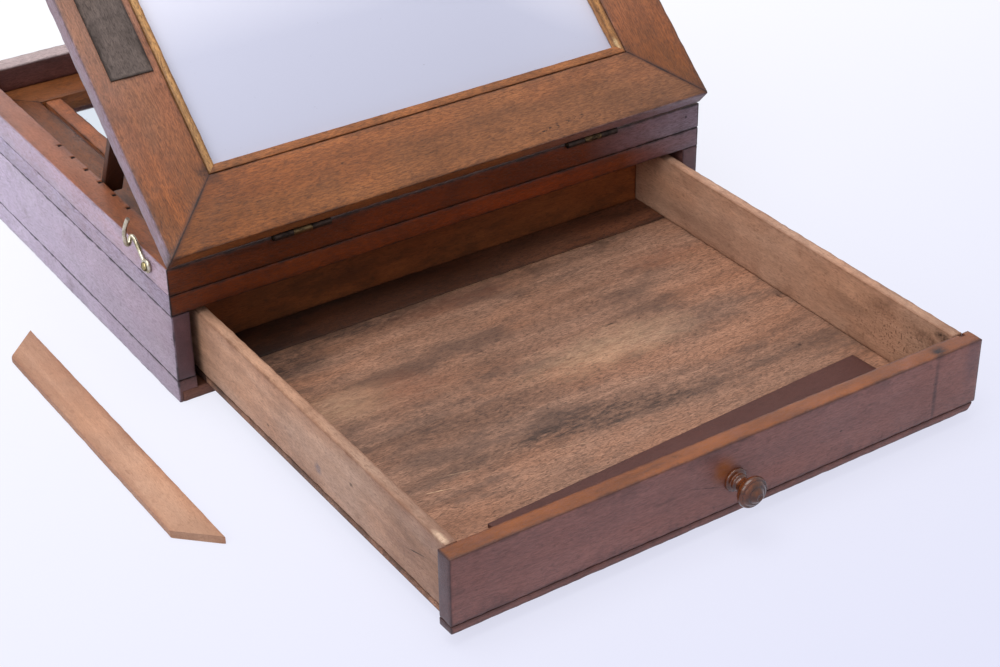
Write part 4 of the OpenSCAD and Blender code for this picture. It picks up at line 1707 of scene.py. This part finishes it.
    def plate_seat(self, frame: Matrix, side: Side) -> Extent:
        """Gives the recess of one prop's plate.

        Args:
            frame: The working frame.
            side: The stile that it is cut in.

        Returns:
            The recess's corners.
        """
        low, high = self.bench.extent("prop_plates", frame)
        if side is Side.LEFT:
            high = Vector((low.x + self.plate_width, high.y, high.z))
        else:
            low = Vector((high.x - self.plate_width, low.y, low.z))
        return low - Vector((0, 0, self.plate_rise)), high

    def beads(self, frame: Matrix) -> list[Board]:
        """Gives the light beads round the opening."""
        ring = Ring(ring_names("lid_bead"), frame)
        return [
            ring.member(
                self.bench, side, BEAD_FRONT if side is Side.FRONT else BEAD_WOOD, ease=0.0005,
                chips=0.0002 if side is Side.FRONT else 0.0005,
                marks=self.broken_end() if side is Side.RIGHT else (),
            )
            for side in Side
        ]

    def broken_end(self) -> list[Mark]:
        """Gives the pale and dark splinters at the right bead's front end."""
        return [
            Mark((151, 52, self.bead_top), (2.4, 7, 3), tone(232, 200, 150), 0.8, 1.6),
            Mark((148.5, 47, self.bead_top), (2.2, 4, 3), tone(36, 24, 20), 0.95, 1.2),
            Mark((153, 62, self.bead_top), (1.6, 9, 3), tone(60, 36, 24), 0.8, 1.4),
        ]

    def fillets(self, frame: Matrix) -> list[Board]:
        """Gives the three glazing fillets behind the glass."""
        ring = Ring(("lid_fillet_front", "lid_fillet_back", None, "lid_fillet_right"), frame)
        return [ring.member(self.bench, side, FILLET_WOOD, ease=0.0005) for side in Side if ring.nodes[side]]


@dataclass
class Props:
    """The two prop legs, one shaped and one copied from it."""

    bench: Bench
    dresser: Dresser
    lug: float = 0.004
    lug_reach: float = 0.0041
    nose: float = 0.0024

    def build(self) -> None:
        """Builds the left leg, slotted over its plate's lug, and the right one from it."""
        left = self.leg("left")
        pieces = build_all([left], "prop_left", self.bench, self.dresser)
        right = self.leg("right")
        shift = self.bench.extent(right.node)[0] - self.bench.extent(left.node)[0]
        copy = copied(pieces[0], "prop_leg_right_board", shift)
        right.dress(copy, self.bench, self.dresser)
        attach(copy, "prop_right")
        LOG.info("%s built, on prop_right", copy.name)

    def leg(self, side: str) -> Board:
        """Gives one leg, with its pivot's end low along Y.

        Args:
            side: left or right.

        Returns:
            The leg.
        """
        node, pin_node = f"prop_leg_{side}", f"prop_pivot_pin_{side}"
        frame = self.bench.along(node, "X")
        low, high = self.bench.extent(node, frame)
        pin = self.bench.extent(pin_node, frame)
        if pin[0].y + pin[1].y > low.y + high.y:
            frame = frame @ Matrix.Rotation(math.pi, 4, "X")
            low, high = self.bench.extent(node, frame)
            pin = self.bench.extent(pin_node, frame)
        pivot = (pin[0] + pin[1]) / 2
        slot = (Vector((pivot.x - self.lug / 2, pivot.y - PAST, low.z - PAST)),
                Vector((pivot.x + self.lug / 2, pivot.y + self.lug_reach, high.z + PAST)))
        return Board(
            node, DARK_WOOD, Grain.BACK, frame, ease=0.0005, chips=0.0002, hollows=[slot], round_end=self.nose
        )


@dataclass
class Drawer:
    """The drawer: front, strip, sides, back, floor boards, knob and the loose strip in it."""

    bench: Bench
    dresser: Dresser
    body: str = "drawer"
    strip_short: float = 0.006
    narrow_depth: float = 0.04
    floor_gap: float = 0.0003
    worn_left: float = 0.0009
    worn_right: float = 0.0013
    snapped: float = 0.0022
    notch_span: tuple[float, float] = (0.1767, 0.1807)
    notch_depth: float = 0.0022
    notch_inset: float = 0.0085
    knob_profile: tuple[tuple[float, float], ...] = (
        (7.0, 0.0), (7.4, 0.5), (7.5, 1.3), (7.3, 2.1), (6.4, 2.6), (5.5, 2.8), (5.0, 3.3), (5.3, 3.9),
        (5.6, 4.6), (5.3, 5.3), (4.6, 5.8), (4.2, 6.6), (4.1, 7.8), (4.4, 9.0), (5.2, 10.2), (6.7, 11.2),
        (8.3, 12.2), (9.4, 13.4), (9.9, 14.9), (9.7, 16.2), (9.1, 17.2), (8.6, 17.5), (8.3, 17.2),
        (8.0, 17.3), (7.5, 18.2), (6.6, 19.1), (5.8, 19.6), (5.5, 19.4), (5.2, 19.4), (4.7, 19.9),
        (3.8, 21.0), (2.8, 21.9), (2.0, 22.1), (1.5, 21.8), (1.1, 21.4), (0.5, 21.3),
    )

    def build(self) -> None:
        """Builds the drawer's boards, then its knob."""
        build_all(self.front() + self.shell() + self.floor(), self.body, self.bench, self.dresser)
        self.knob()

    def front(self) -> list[Board]:
        """Gives the front and the strip along its lower edge."""
        low, high = self.bench.extent("drawer_front")
        y = low.y / MM
        top = high.z / MM
        marks = [
            Mark((-8, y, 41), (10, 3, 11), tone(156, 88, 34), 0.8, 0.4),
            Mark((151, y, 34), (2.4, 3, 34), tone(38, 30, 36), 0.75, 1.0),
            Mark((155, y + 4, top), (8, 8, 4), tone(26, 20, 24), 1.0, 0.8),
            Mark((150.5, y, 10), (10, 3, 6), tone(30, 24, 28), 1.0, 0.6),
            Mark((178.7, y + 10, top - 2), (3.4, 4, 3), tone(22, 14, 12), 1.0, 0.3),
            Mark((78, y, 34), (1.5, 2, 0.9)),
            Mark((99, y, 44), (9, 2, 1.1), strength=0.5, ragged=1.4),
            Mark((-48, y, 36), (14, 2, 1.2), strength=0.4, ragged=1.4),
            Mark((180, y, 45), (9, 2, 22), tone(84, 66, 74), 0.5, 0.8),
            Mark((-60, y + 6, top), (40, 4, 2), tone(80, 44, 24), 0.6, 1.6),
            Mark((90, y + 8, top), (46, 4, 2), tone(80, 44, 24), 0.25, 1.6),
            Mark((166, y + 6, top), (24, 9, 2), tone(74, 52, 48), 0.35, 0.9),
        ]
        crack = Mark((-18, y, 33.5), (16, 3, 8), ragged=0.3)
        left, right = self.notch_span
        notch = (Vector((left, low.y + self.notch_inset, high.z - self.notch_depth)),
                 Vector((right, high.y + PAST / 2, high.z + PAST / 2)))
        worn = [(Vector((high.x - self.worn_right, 0, high.z)), Vector((1, 0, 1)).normalized()),
                (Vector((low.x + self.worn_left, 0, high.z)), Vector((-1, 0, 1)).normalized())]
        end = self.bench.extent("drawer_front_strip")[1]
        snapped = [(Vector((end.x - self.snapped, 0, end.z)), Vector((1, 0, -0.8)).normalized())]
        lines = [Line((-0.0314, y * MM, 0.0378), (0.32, 0.0, 0.95), 0.0005, within=crack)]
        return [
            Board("drawer_front", FRONT_WOOD, Grain.ACROSS, ease=0.0009, chips=0.0004, marks=marks,
                  lines=lines, mitres=worn, hollows=[notch],
                  sweep=stops((0.0, 236, 230, 230), (0.6, 250, 248, 248), (0.9, 255, 255, 255)),
                  faces=[Haze(Face.TOP, tone(130, 70, 14), 0.95, 0.9, varied=1.0),
                         Haze(Face.LEFT, tone(56, 43, 48), 0.9, 0.9)]),
            Board("drawer_front_strip", FRONT_WOOD, Grain.ACROSS, ease=0.0008, chips=0.0003, mitres=snapped,
                  faces=[Haze(Face.FRONT, tone(116, 70, 60), 0.5, 0.5),
                         Haze(Face.LEFT, tone(50, 38, 42), 0.95, 0.95)]),
        ]

    def shell(self) -> list[Board]:
        """Gives the sides and the back."""
        left = self.bench.extent("drawer_side_left")[0].x / MM
        top = self.bench.extent("drawer_side_left")[1].z / MM
        brown = tone(96, 60, 44)
        marks = [
            Mark((left, -311, 27), (3, 5, 5), tone(92, 92, 108), 0.75, 1.2),
            Mark((left, -348.7, 38), (2, 3, 2), ragged=0.9),
            Mark((left, -251.5, 23), (2, 2, 1.2)),
            Mark((left, -400, 30), (3, 30, 7), tone(130, 96, 80), 0.4, 1.0),
            Mark((left + 2, -438, top), (3, 9, 3), tone(222, 190, 160), 0.85, 1.3),
            Mark((left, -254, top), (2, 6, 2.4), brown, 0.8, 1.3),
            Mark((left, -210, top), (2, 14, 1.4), brown, 0.7, 1.4),
            Mark((left, -340, top), (2, 24, 1.2), brown, 0.6, 1.5),
        ]
        split = Mark((left, -416, 34), (3, 22, 9), ragged=0.3)
        lines = [Line((left * MM, -0.3974, 0.0291), (0.0, 0.28, 0.96), 0.0006, within=split)]
        right = self.bench.extent("drawer_side_right")[0].x / MM
        scuffs = [
            Mark((right, -425, 46), (3, 16, 9), tone(84, 52, 38), 0.7, 2.2),
            Mark((right, -412, 20), (3, 14, 7), tone(90, 56, 40), 0.65, 2.2),
            Mark((right, -385, 48), (3, 18, 7), tone(112, 74, 54), 0.6, 2.2),
            Mark((right, -438, 53), (3, 9, 4), tone(40, 22, 18), 0.95, 1.2),
            Mark((right, -400, 34), (3, 60, 24), tone(84, 56, 44), 0.8, 0.5, True),
        ]
        return [
            Board("drawer_side_left", SIDE_WOOD, Grain.BACK, chips=0.0006, marks=marks, lines=lines,
                  sweep=stops((0.0, 196, 196, 200), (0.3, 234, 238, 242), (0.7, 255, 255, 255))),
            Board("drawer_side_right", SIDE_WOOD, Grain.BACK, chips=0.0005, marks=scuffs,
                  sweep=stops((0.0, 236, 232, 228), (0.6, 250, 248, 248))),
            Board("drawer_back", BACK_WOOD, Grain.ACROSS, chips=0.0004,
                  sweep=stops((0.0, 205, 205, 200), (0.5, 214, 206, 196), (1.0, 255, 250, 240))),
        ]

    def floor(self) -> list[Board]:
        """Gives the floor's wide board and the narrow one behind it, and the loose strip."""
        low, high = self.bench.extent("drawer_floor")
        wide = (low, Vector((high.x, high.y - self.narrow_depth - self.floor_gap, high.z)))
        narrow = (Vector((low.x, high.y - self.narrow_depth, low.z)), high)
        top = high.z / MM
        soot, rust, tan = tone(46, 38, 36), tone(150, 86, 58), tone(222, 182, 144)
        patches = [
            (-10, -342, 78, 20, soot, 0.85, 1.6), (-82, -343, 50, 15, soot, 0.5, 1.8),
            (-48, -307, 66, 20, soot, 0.4, 1.8), (31, -353, 50, 11, soot, 0.65, 1.7),
            (84, -345, 46, 15, soot, 0.4, 1.8), (-99, -298, 36, 14, soot, 0.45, 1.8),
            (-150, -190, 56, 24, soot, 0.85, 1.5), (150, -385, 34, 16, soot, 0.35, 1.8),
            (-60, -176, 140, 12, soot, 0.75, 1.5), (40, -200, 66, 12, soot, 0.3, 1.8),
            (-124, -248, 40, 24, tan, 0.34, 1.2), (110, -300, 50, 12, soot, 0.25, 1.8),
        ]
        later_patches = [
            (136, -212, 44, 15, rust, 0.3, 1.5), (-93, -250, 50, 24, rust, 0.3, 1.5),
            (-11, -182, 64, 13, rust, 0.3, 1.4), (42, -284, 80, 26, tan, 0.36, 1.3),
        ]
        specks = [(59, -262, 5, 1), (170, -296, 2, 4), (158, -396, 4, 1), (142, -349, 2, 2),
                  (100, -230, 3, 0.8)]
        marks = [
            *self.patches(patches, top),
            Mark((0, -300, top), (190, 130, 3), soot, 0.5, 0.8, pits=True),
            *self.patches(later_patches, top),
            *(Mark((x, y, top), (long, wide, 2)) for x, y, long, wide in specks),
        ]
        lines = []
        for x, y, half in ((-112, -343, 17), (-41, -358, 18), (-128, -352, 12), (30, -322, 22)):
            stretch = Mark((x, y, top), (half, 7, 3), ragged=0.8)
            lines.append(Line((x * MM, y * MM, high.z), (0.24, 0.97, 0.0), 0.0005, tan, stretch))
        # Painted highlight: a pale line along the wide board's back edge, where it catches the light.
        joint = Mark((60, wide[1].y / MM, top), (130, 5, 3), ragged=0.8)
        split = (0.0, wide[1].y - 0.0006, high.z)
        lines.append(Line(split, (0.0, 1.0, 0.0), 0.0007, tone(206, 160, 118), joint))
        strip_frame = self.bench.along("loose_strip", "Z")
        if abs(strip_frame.to_euler().z) > 0.5:
            quarter = -math.copysign(math.pi / 2, strip_frame.to_euler().z)
            strip_frame = strip_frame @ Matrix.Rotation(quarter, 4, "Z")
        strip_low, strip_high = self.bench.extent("loose_strip", strip_frame)
        return [
            Board("drawer_floor", FLOOR_WOOD, Grain.ACROSS, span=wide, name="drawer_floor_wide", marks=marks,
                  lines=lines),
            Board("drawer_floor", FLOOR_DARK, Grain.ACROSS, span=narrow, name="drawer_floor_narrow",
                  sweep=stops((0.0, 156, 152, 150), (0.5, 172, 164, 158), (1.0, 255, 255, 255))),
            Board("loose_strip", DARK_CARD, Grain.ACROSS, strip_frame, ease=0.0006, chips=0.0002,
                  span=(strip_low + Vector((self.strip_short, 0, 0)), strip_high)),
        ]

    def patches(self, rows: Sequence[tuple[Any, ...]], top: float) -> list[Mark]:
        """Gives soft marks on the floor.

        Args:
            rows: For each, its X and Y, half its length and width, colour, strength and raggedness.
            top: The floor's height in millimetres.

        Returns:
            The marks.
        """
        return [Mark((x, y, top), (long, wide, 3), *look) for x, y, long, wide, *look in rows]

    def knob(self) -> None:
        """Turns the knob and gives it its amber finish."""
        low, high = self.bench.extent("knob")
        centre = Vector(((low.x + high.x) / 2, self.bench.extent("drawer_front")[0].y, (low.z + high.z) / 2))
        piece = turned("knob_turned", self.knob_profile, centre, Vector((0, -1, 0)), 40)
        finish_modifier(piece, "SUBSURF", levels=1, render_levels=1)
        smooth(piece, 60)
        material, net, shader = self.dresser.start("amber_knob")
        place = net.own_place()
        along = net.add("Mapping", {"Vector": place, "Rotation": Grain.BACK.value}).outputs[0]
        inputs = {
            "Vector": along, "Pale": tone(126, 64, 24), "Deep": tone(62, 32, 17), "Pore": tone(30, 16, 10),
        }
        figure = net.group(self.dresser.effects.figure, inputs)
        rings = net.add("TexWave", {"Vector": place, "Scale": 90.0, "Distortion": 1.0}, bands_direction="Y")
        colour = net.blend(net.times(rings.outputs[1], 0.4), figure["Color"], tone(56, 28, 16))
        grime = net.rise(net.noise(place, (260, 260, 260), 4, 0.6), 0.46, 0.62)
        colour = net.blend(net.times(grime, 0.45), colour, tone(46, 26, 18))
        net.feed(shader, {
            "Base Color": colour, "Roughness": 0.24, "Specular IOR Level": 0.4, "Coat Weight": 0.35,
            "Coat Roughness": 0.07,
        })
        piece.data.materials.append(material)
        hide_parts("knob")
        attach(piece, self.body)
        LOG.info("%s built, on %s", piece.name, self.body)


@dataclass
class Loose:
    """The glazing fillet that lies on the table, and the abrasive strip that is stuck on the lid."""

    bench: Bench
    dresser: Dresser

    def build(self) -> None:
        """Builds the fillet and the strip."""
        frame = self.bench.along("loose_fillet", "Z")
        low, high = self.bench.extent("loose_fillet", frame)
        height = (low.z + high.z) / 2
        mitres = [(Vector((high.x, y, height)), Vector((-1, end, 0)).normalized())
                  for end, y in ((-1, low.y), (1, high.y))]
        fillet = Board("loose_fillet", FILLET_WOOD, Grain.BACK, frame, ease=0.0005, mitres=mitres)
        build_all([fillet], "loose_fillet", self.bench, self.dresser)
        strip = Board("abrasive_strip", ABRASIVE, Grain.BACK, self.bench.lid(), ease=0.0003, chips=0.0)
        build_all([strip], "lid", self.bench, self.dresser)


@dataclass
class Latch:
    """The hook on the left wall, and the screw that it hangs on.

    Attributes:
        bench: Gives the joint's place and the slots.
        dresser: Makes the brass.
        wire: Radius of the hook's wire.
        eye: Radius of its eye, to the middle of the wire.
        shank: Length of its shank.
        rise: How far the shank rises from level, in degrees.
        bend: Points of the arm from the shank's end, in millimetres: along, up and out.
        screw: Radius and distance from the screw's inner end at each point, in millimetres.
        proud: How far the screw's shank ends outside the joint.
        slot: Half sizes of the slot's cutter.
        slot_turn: Turn of the slot, in degrees.
    """

    bench: Bench
    dresser: Dresser
    wire: float = 0.00138
    eye: float = 0.0033
    shank: float = 0.018
    rise: float = 24.0
    bend: tuple[Triple, ...] = (
        (-3.4, 5.1, 0.0), (-1.6, 5.5, 0.3), (-0.6, 5.2, 1.0), (-1.5, 4.4, 2.0), (-3.7, 4.0, 3.2),
        (-5.4, 3.8, 4.6), (-4.9, 4.6, 6.0), (-4.3, 8.3, 7.0), (-3.5, 12.8, 7.4), (-2.7, 16.5, 7.2),
        (-2.2, 20.3, 6.6), (-2.3, 25.1, 5.6),
    )
    screw: tuple[tuple[float, float], ...] = (
        (1.7, 0.0), (1.7, 12.1), (3.0, 12.25), (3.05, 12.5), (2.8, 13.0), (2.2, 13.5), (1.3, 13.85),
        (0.5, 14.0),
    )
    proud: float = 0.0014
    slot: Triple = (0.0009, 0.004, 0.0004)
    slot_turn: float = 70.0

    def build(self) -> None:
        """Builds the hook, then its screw."""
        self.hook()
        self.hook_screw()

    def hook(self) -> None:
        """Bends the hook from wire: an eye, a shank and an arm."""
        joint = self.bench.joints["hook_pivot"]
        frame = Matrix.Translation(joint["pos_m"]) @ Matrix.Rotation(math.radians(self.rise), 4, "X")
        end = self.eye + self.shank
        points = [Vector((0, self.eye * 0.9, 0)), Vector((0, 0.009, 0.0022)), Vector((0, 0.015, 0.0046))]
        points += [Vector((-out * MM, end + run * MM, over * MM)) for run, over, out in self.bend]
        deselect()
        bpy.ops.curve.primitive_nurbs_path_add()
        line = bpy.context.active_object
        spline = line.data.splines[0]
        spline.points.add(len(points) - len(spline.points))
        for target, point in zip(spline.points, points):
            target.co = (*point, 1.0)
        spline.order_u = 3
        spline.use_endpoint_u = True
        line.data.bevel_depth = self.wire
        line.data.bevel_resolution = 4
        line.data.resolution_u = 8
        line.data.use_fill_caps = True
        pick(line)
        bpy.ops.object.convert(target="MESH")
        piece = bpy.context.active_object
        piece.name = piece.data.name = "hook_wire"
        deselect()
        bpy.ops.mesh.primitive_torus_add(
            major_radius=self.eye, minor_radius=self.wire, major_segments=40, minor_segments=14,
            rotation=(0, math.pi / 2, 0),
        )
        ring = bpy.context.active_object
        settle(ring)
        finish_modifier(piece, "BOOLEAN", object=ring, operation="UNION", solver="EXACT")
        bpy.data.objects.remove(ring)
        smooth(piece, 45)
        settle(piece, frame)
        brass = self.dresser.metal("hook_brass", tone(204, 197, 178), tone(152, 142, 118), 0.27)
        piece.data.materials.append(brass)
        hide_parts("hook")
        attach(piece, "hook")
        LOG.info("%s built, on hook", piece.name)

    def hook_screw(self) -> None:
        """Turns the screw that the hook hangs on: a shank, a low dome and a slot."""
        joint = Vector(self.bench.joints["hook_pivot"]["pos_m"])
        start = Vector((joint.x - self.proud + self.screw[1][1] * MM, joint.y, joint.z))
        piece = turned("hook_screw_turned", self.screw, start, Vector((-1, 0, 0)), 28)
        slot = block("cutter", -Vector(self.slot), Vector(self.slot))
        tip = Vector((start.x - self.screw[-1][1] * MM, joint.y, joint.z))
        settle(slot, Matrix.Translation(tip) @ Matrix.Rotation(math.radians(self.slot_turn), 4, "X"))
        carve(piece, slot)
        smooth(piece, 40)
        brass = self.dresser.metal("screw_brass", tone(168, 154, 112), tone(84, 70, 46), 0.3)
        piece.data.materials.append(brass)
        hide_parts("hook_screw")
        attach(piece, "case")
        LOG.info("%s built, on case", piece.name)


@dataclass
class Fittings:
    """The frame's own nodes that keep their shape and get a finish: metal, glass and mirror."""

    bench: Bench
    dresser: Dresser

    def build(self) -> None:
        """Dresses the nodes."""
        iron = self.dresser.metal("dark_iron", tone(58, 46, 40), tone(30, 22, 20), 0.45, 0.8)
        brass = self.dresser.metal("worn_brass", tone(104, 86, 60), tone(40, 31, 25), 0.42)
        steel = self.dresser.metal("dull_steel", tone(150, 146, 140), tone(96, 88, 80), 0.4)
        finishes = {
            **dict.fromkeys(("hinge_leaves_lower", "hinge_screws_lower", "hinge_screws_upper"), iron),
            **dict.fromkeys(("prop_plates", "prop_plate_screws"), iron),
            **dict.fromkeys(("hinge_leaves_upper", "hinge_pins"), brass),
            **dict.fromkeys(("prop_pivot_pin_left", "prop_pivot_pin_right"), steel),
            **dict.fromkeys(("prop_foot_pin_left", "prop_foot_pin_right"), steel),
            "opal_glass": self.opal(),
            "mirror_glass": self.mirror(),
            "mirror_backing": self.backing(),
        }
        for node, material in finishes.items():
            for slot in self.bench.nodes[node].material_slots:
                slot.material = material
            LOG.info("%s dressed", node)

    def opal(self) -> bpy.types.Material:
        """Makes the opal glass, faintly dusty, with painted light: darker and bluer towards its lower edge,
        lighter towards its top and right.
        """
        material, net, shader = self.dresser.start("opal")
        flat = self.dresser.flat_place(net, self.bench.lid())
        axes = net.split(flat)
        # Painted light: the colour runs from a dark blue-grey at the lower front edge to near white towards
        # the top and the right.
        up = net.plus(axes[1], net.rise(axes[0], 0.05, 0.15, 0.06))
        colour = net.ramp(net.remap(up, 0.05, 0.21),
                          stops((0.0, 186, 187, 204), (0.45, 192, 193, 210), (1.0, 238, 236, 246)))
        dust = net.rise(net.noise(flat, (420, 420, 420), 3, 0.6), 0.72, 0.78)
        colour = net.blend(net.times(dust, 0.5), colour, tone(120, 118, 130))
        net.feed(shader, {"Base Color": colour, "Roughness": 0.3})
        return material

    def mirror(self) -> bpy.types.Material:
        """Makes the silvered mirror, with foxing in its silver."""
        material, net, shader = self.dresser.start("silvered_mirror")
        place = net.own_place()
        foxing = net.rise(net.noise(place, (60, 60, 60), 6, 0.7), 0.6, 0.72)
        colour = net.blend(net.times(foxing, 0.35), tone(226, 234, 240), tone(140, 140, 138))
        net.feed(shader, {"Base Color": colour, "Metallic": 1.0, "Roughness": 0.04})
        return material

    def backing(self) -> bpy.types.Material:
        """Makes the mirror's pine backing board."""
        extent = self.bench.extent("mirror_backing")
        return self.dresser.timber(
            SIDE_WOOD, "mirror_backing", extent, Matrix(), Grain.ACROSS, (), (), (), ()
        )


# ---- Studio ----


@dataclass
class Studio:
    """The pale floor, the soft lamps, the surroundings and the camera."""

    eye: Triple = (-0.625, -1.1684, 0.7108)
    azimuth: float = 33.49
    elevation: float = 31.83
    roll: float = -0.593
    lens: float = 75.22
    glow: float = 1.14
    glow_share: float = 0.78
    floor_size: float = 9.0
    aim: Triple = (0, -0.1, 0.1)

    def build(self) -> None:
        """Builds the studio."""
        self.floor()
        self.lamp("softbox_over", (-0.35, -0.25, 2.0), size=1.5, power=29.0)
        self.lamp("softbox_left", (-1.75, -1.0, 1.35), size=1.3, power=17.0)
        self.surroundings()
        self.camera()

    def floor(self) -> None:
        """Adds the floor, a wide sweep that the object stands on."""
        deselect()
        bpy.ops.mesh.primitive_plane_add(size=self.floor_size, location=(0, 0, 0))
        floor = bpy.context.active_object
        floor.name = "studio_floor"
        material = bpy.data.materials.new("studio_floor")
        net = blank(material)
        matt = net.add("BsdfDiffuse", {"Color": tone(206, 206, 214)})
        depth = net.split(net.own_place())[1]
        share = net.remap(depth, -0.9, 1.2)
        pale = net.ramp(share, stops((0.0, 206, 208, 236), (0.5, 250, 250, 255), (0.68, 255, 255, 255)))
        glow = net.add("Emission", {"Color": pale, "Strength": self.glow})
        glowing = net.times(self.seen(net), self.glow_share)
        mix = net.add("MixShader", {0: glowing, 1: matt.outputs[0], 2: glow.outputs[0]})
        net.add("OutputMaterial", {0: mix.outputs[0]})
        floor.data.materials.append(material)

    def seen(self, net: Net) -> Socket:
        """Gives one for rays that are seen, straight or through a gloss, and zero for rays that light."""
        path = net.add("LightPath").outputs
        glossy = net.maths("MAXIMUM", path["Is Camera Ray"], path["Is Glossy Ray"])
        return net.maths("MAXIMUM", glossy, path["Is Transmission Ray"])

    def lamp(self, name: str, place: Triple, size: float, power: float) -> None:
        """Adds a square lamp that faces the middle of the object.

        Args:
            name: The lamp's name.
            place: Where it stands.
            size: Length of its sides.
            power: Its power in watts.
        """
        data = bpy.data.lights.new(name, "AREA")
        data.energy = power
        data.size = size
        lamp = bpy.data.objects.new(name, data)
        lamp.location = place
        aim = Vector(self.aim) - Vector(place)
        lamp.rotation_euler = aim.to_track_quat("-Z", "Y").to_euler()
        bpy.context.scene.collection.objects.link(lamp)

    def surroundings(self) -> None:
        """Sets a pale world that lights softly and shows as a white background."""
        world = bpy.data.worlds.new("studio")
        net = blank(world)
        seen = self.seen(net)
        aim = net.split(net.add("TexCoord").outputs["Generated"])[1]
        strength = net.remap(aim, -0.7, 0.6, 0.3, 0.75)
        lit = net.add("Background", {"Color": tone(238, 242, 255), "Strength": strength})
        shown = net.add("Background", {"Color": tone(250, 250, 255), "Strength": 1.0})
        mix = net.add("MixShader", {0: seen, 1: lit.outputs[0], 2: shown.outputs[0]})
        net.add("OutputWorld", {0: mix.outputs[0]})
        bpy.context.scene.world = world

    def camera(self) -> None:
        """Sets the camera."""
        data = bpy.data.cameras.new("camera")
        data.lens = self.lens
        data.sensor_width = 36.0
        camera = bpy.data.objects.new("camera", data)
        turn = (Matrix.Rotation(-math.radians(self.azimuth), 4, "Z")
                @ Matrix.Rotation(math.radians(90 - self.elevation), 4, "X")
                @ Matrix.Rotation(math.radians(self.roll), 4, "Z"))
        camera.matrix_world = Matrix.Translation(self.eye) @ turn
        bpy.context.scene.collection.objects.link(camera)
        bpy.context.scene.camera = camera
        bpy.context.scene.view_settings.view_transform = "Standard"


def main() -> None:
    """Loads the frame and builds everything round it."""
    logging.basicConfig(level=logging.INFO, format="%(name)s: %(message)s")
    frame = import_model()
    bench = Bench(frame)
    dresser = Dresser(Effects())
    kinds = (Case, Tray, Lid, Props, Drawer, Loose, Latch, Fittings)
    for part in (Studio(), *(kind(bench, dresser) for kind in kinds)):
        part.build()
        LOG.info("%s done", type(part).__name__.lower())


if __name__ == "__main__":
    main()
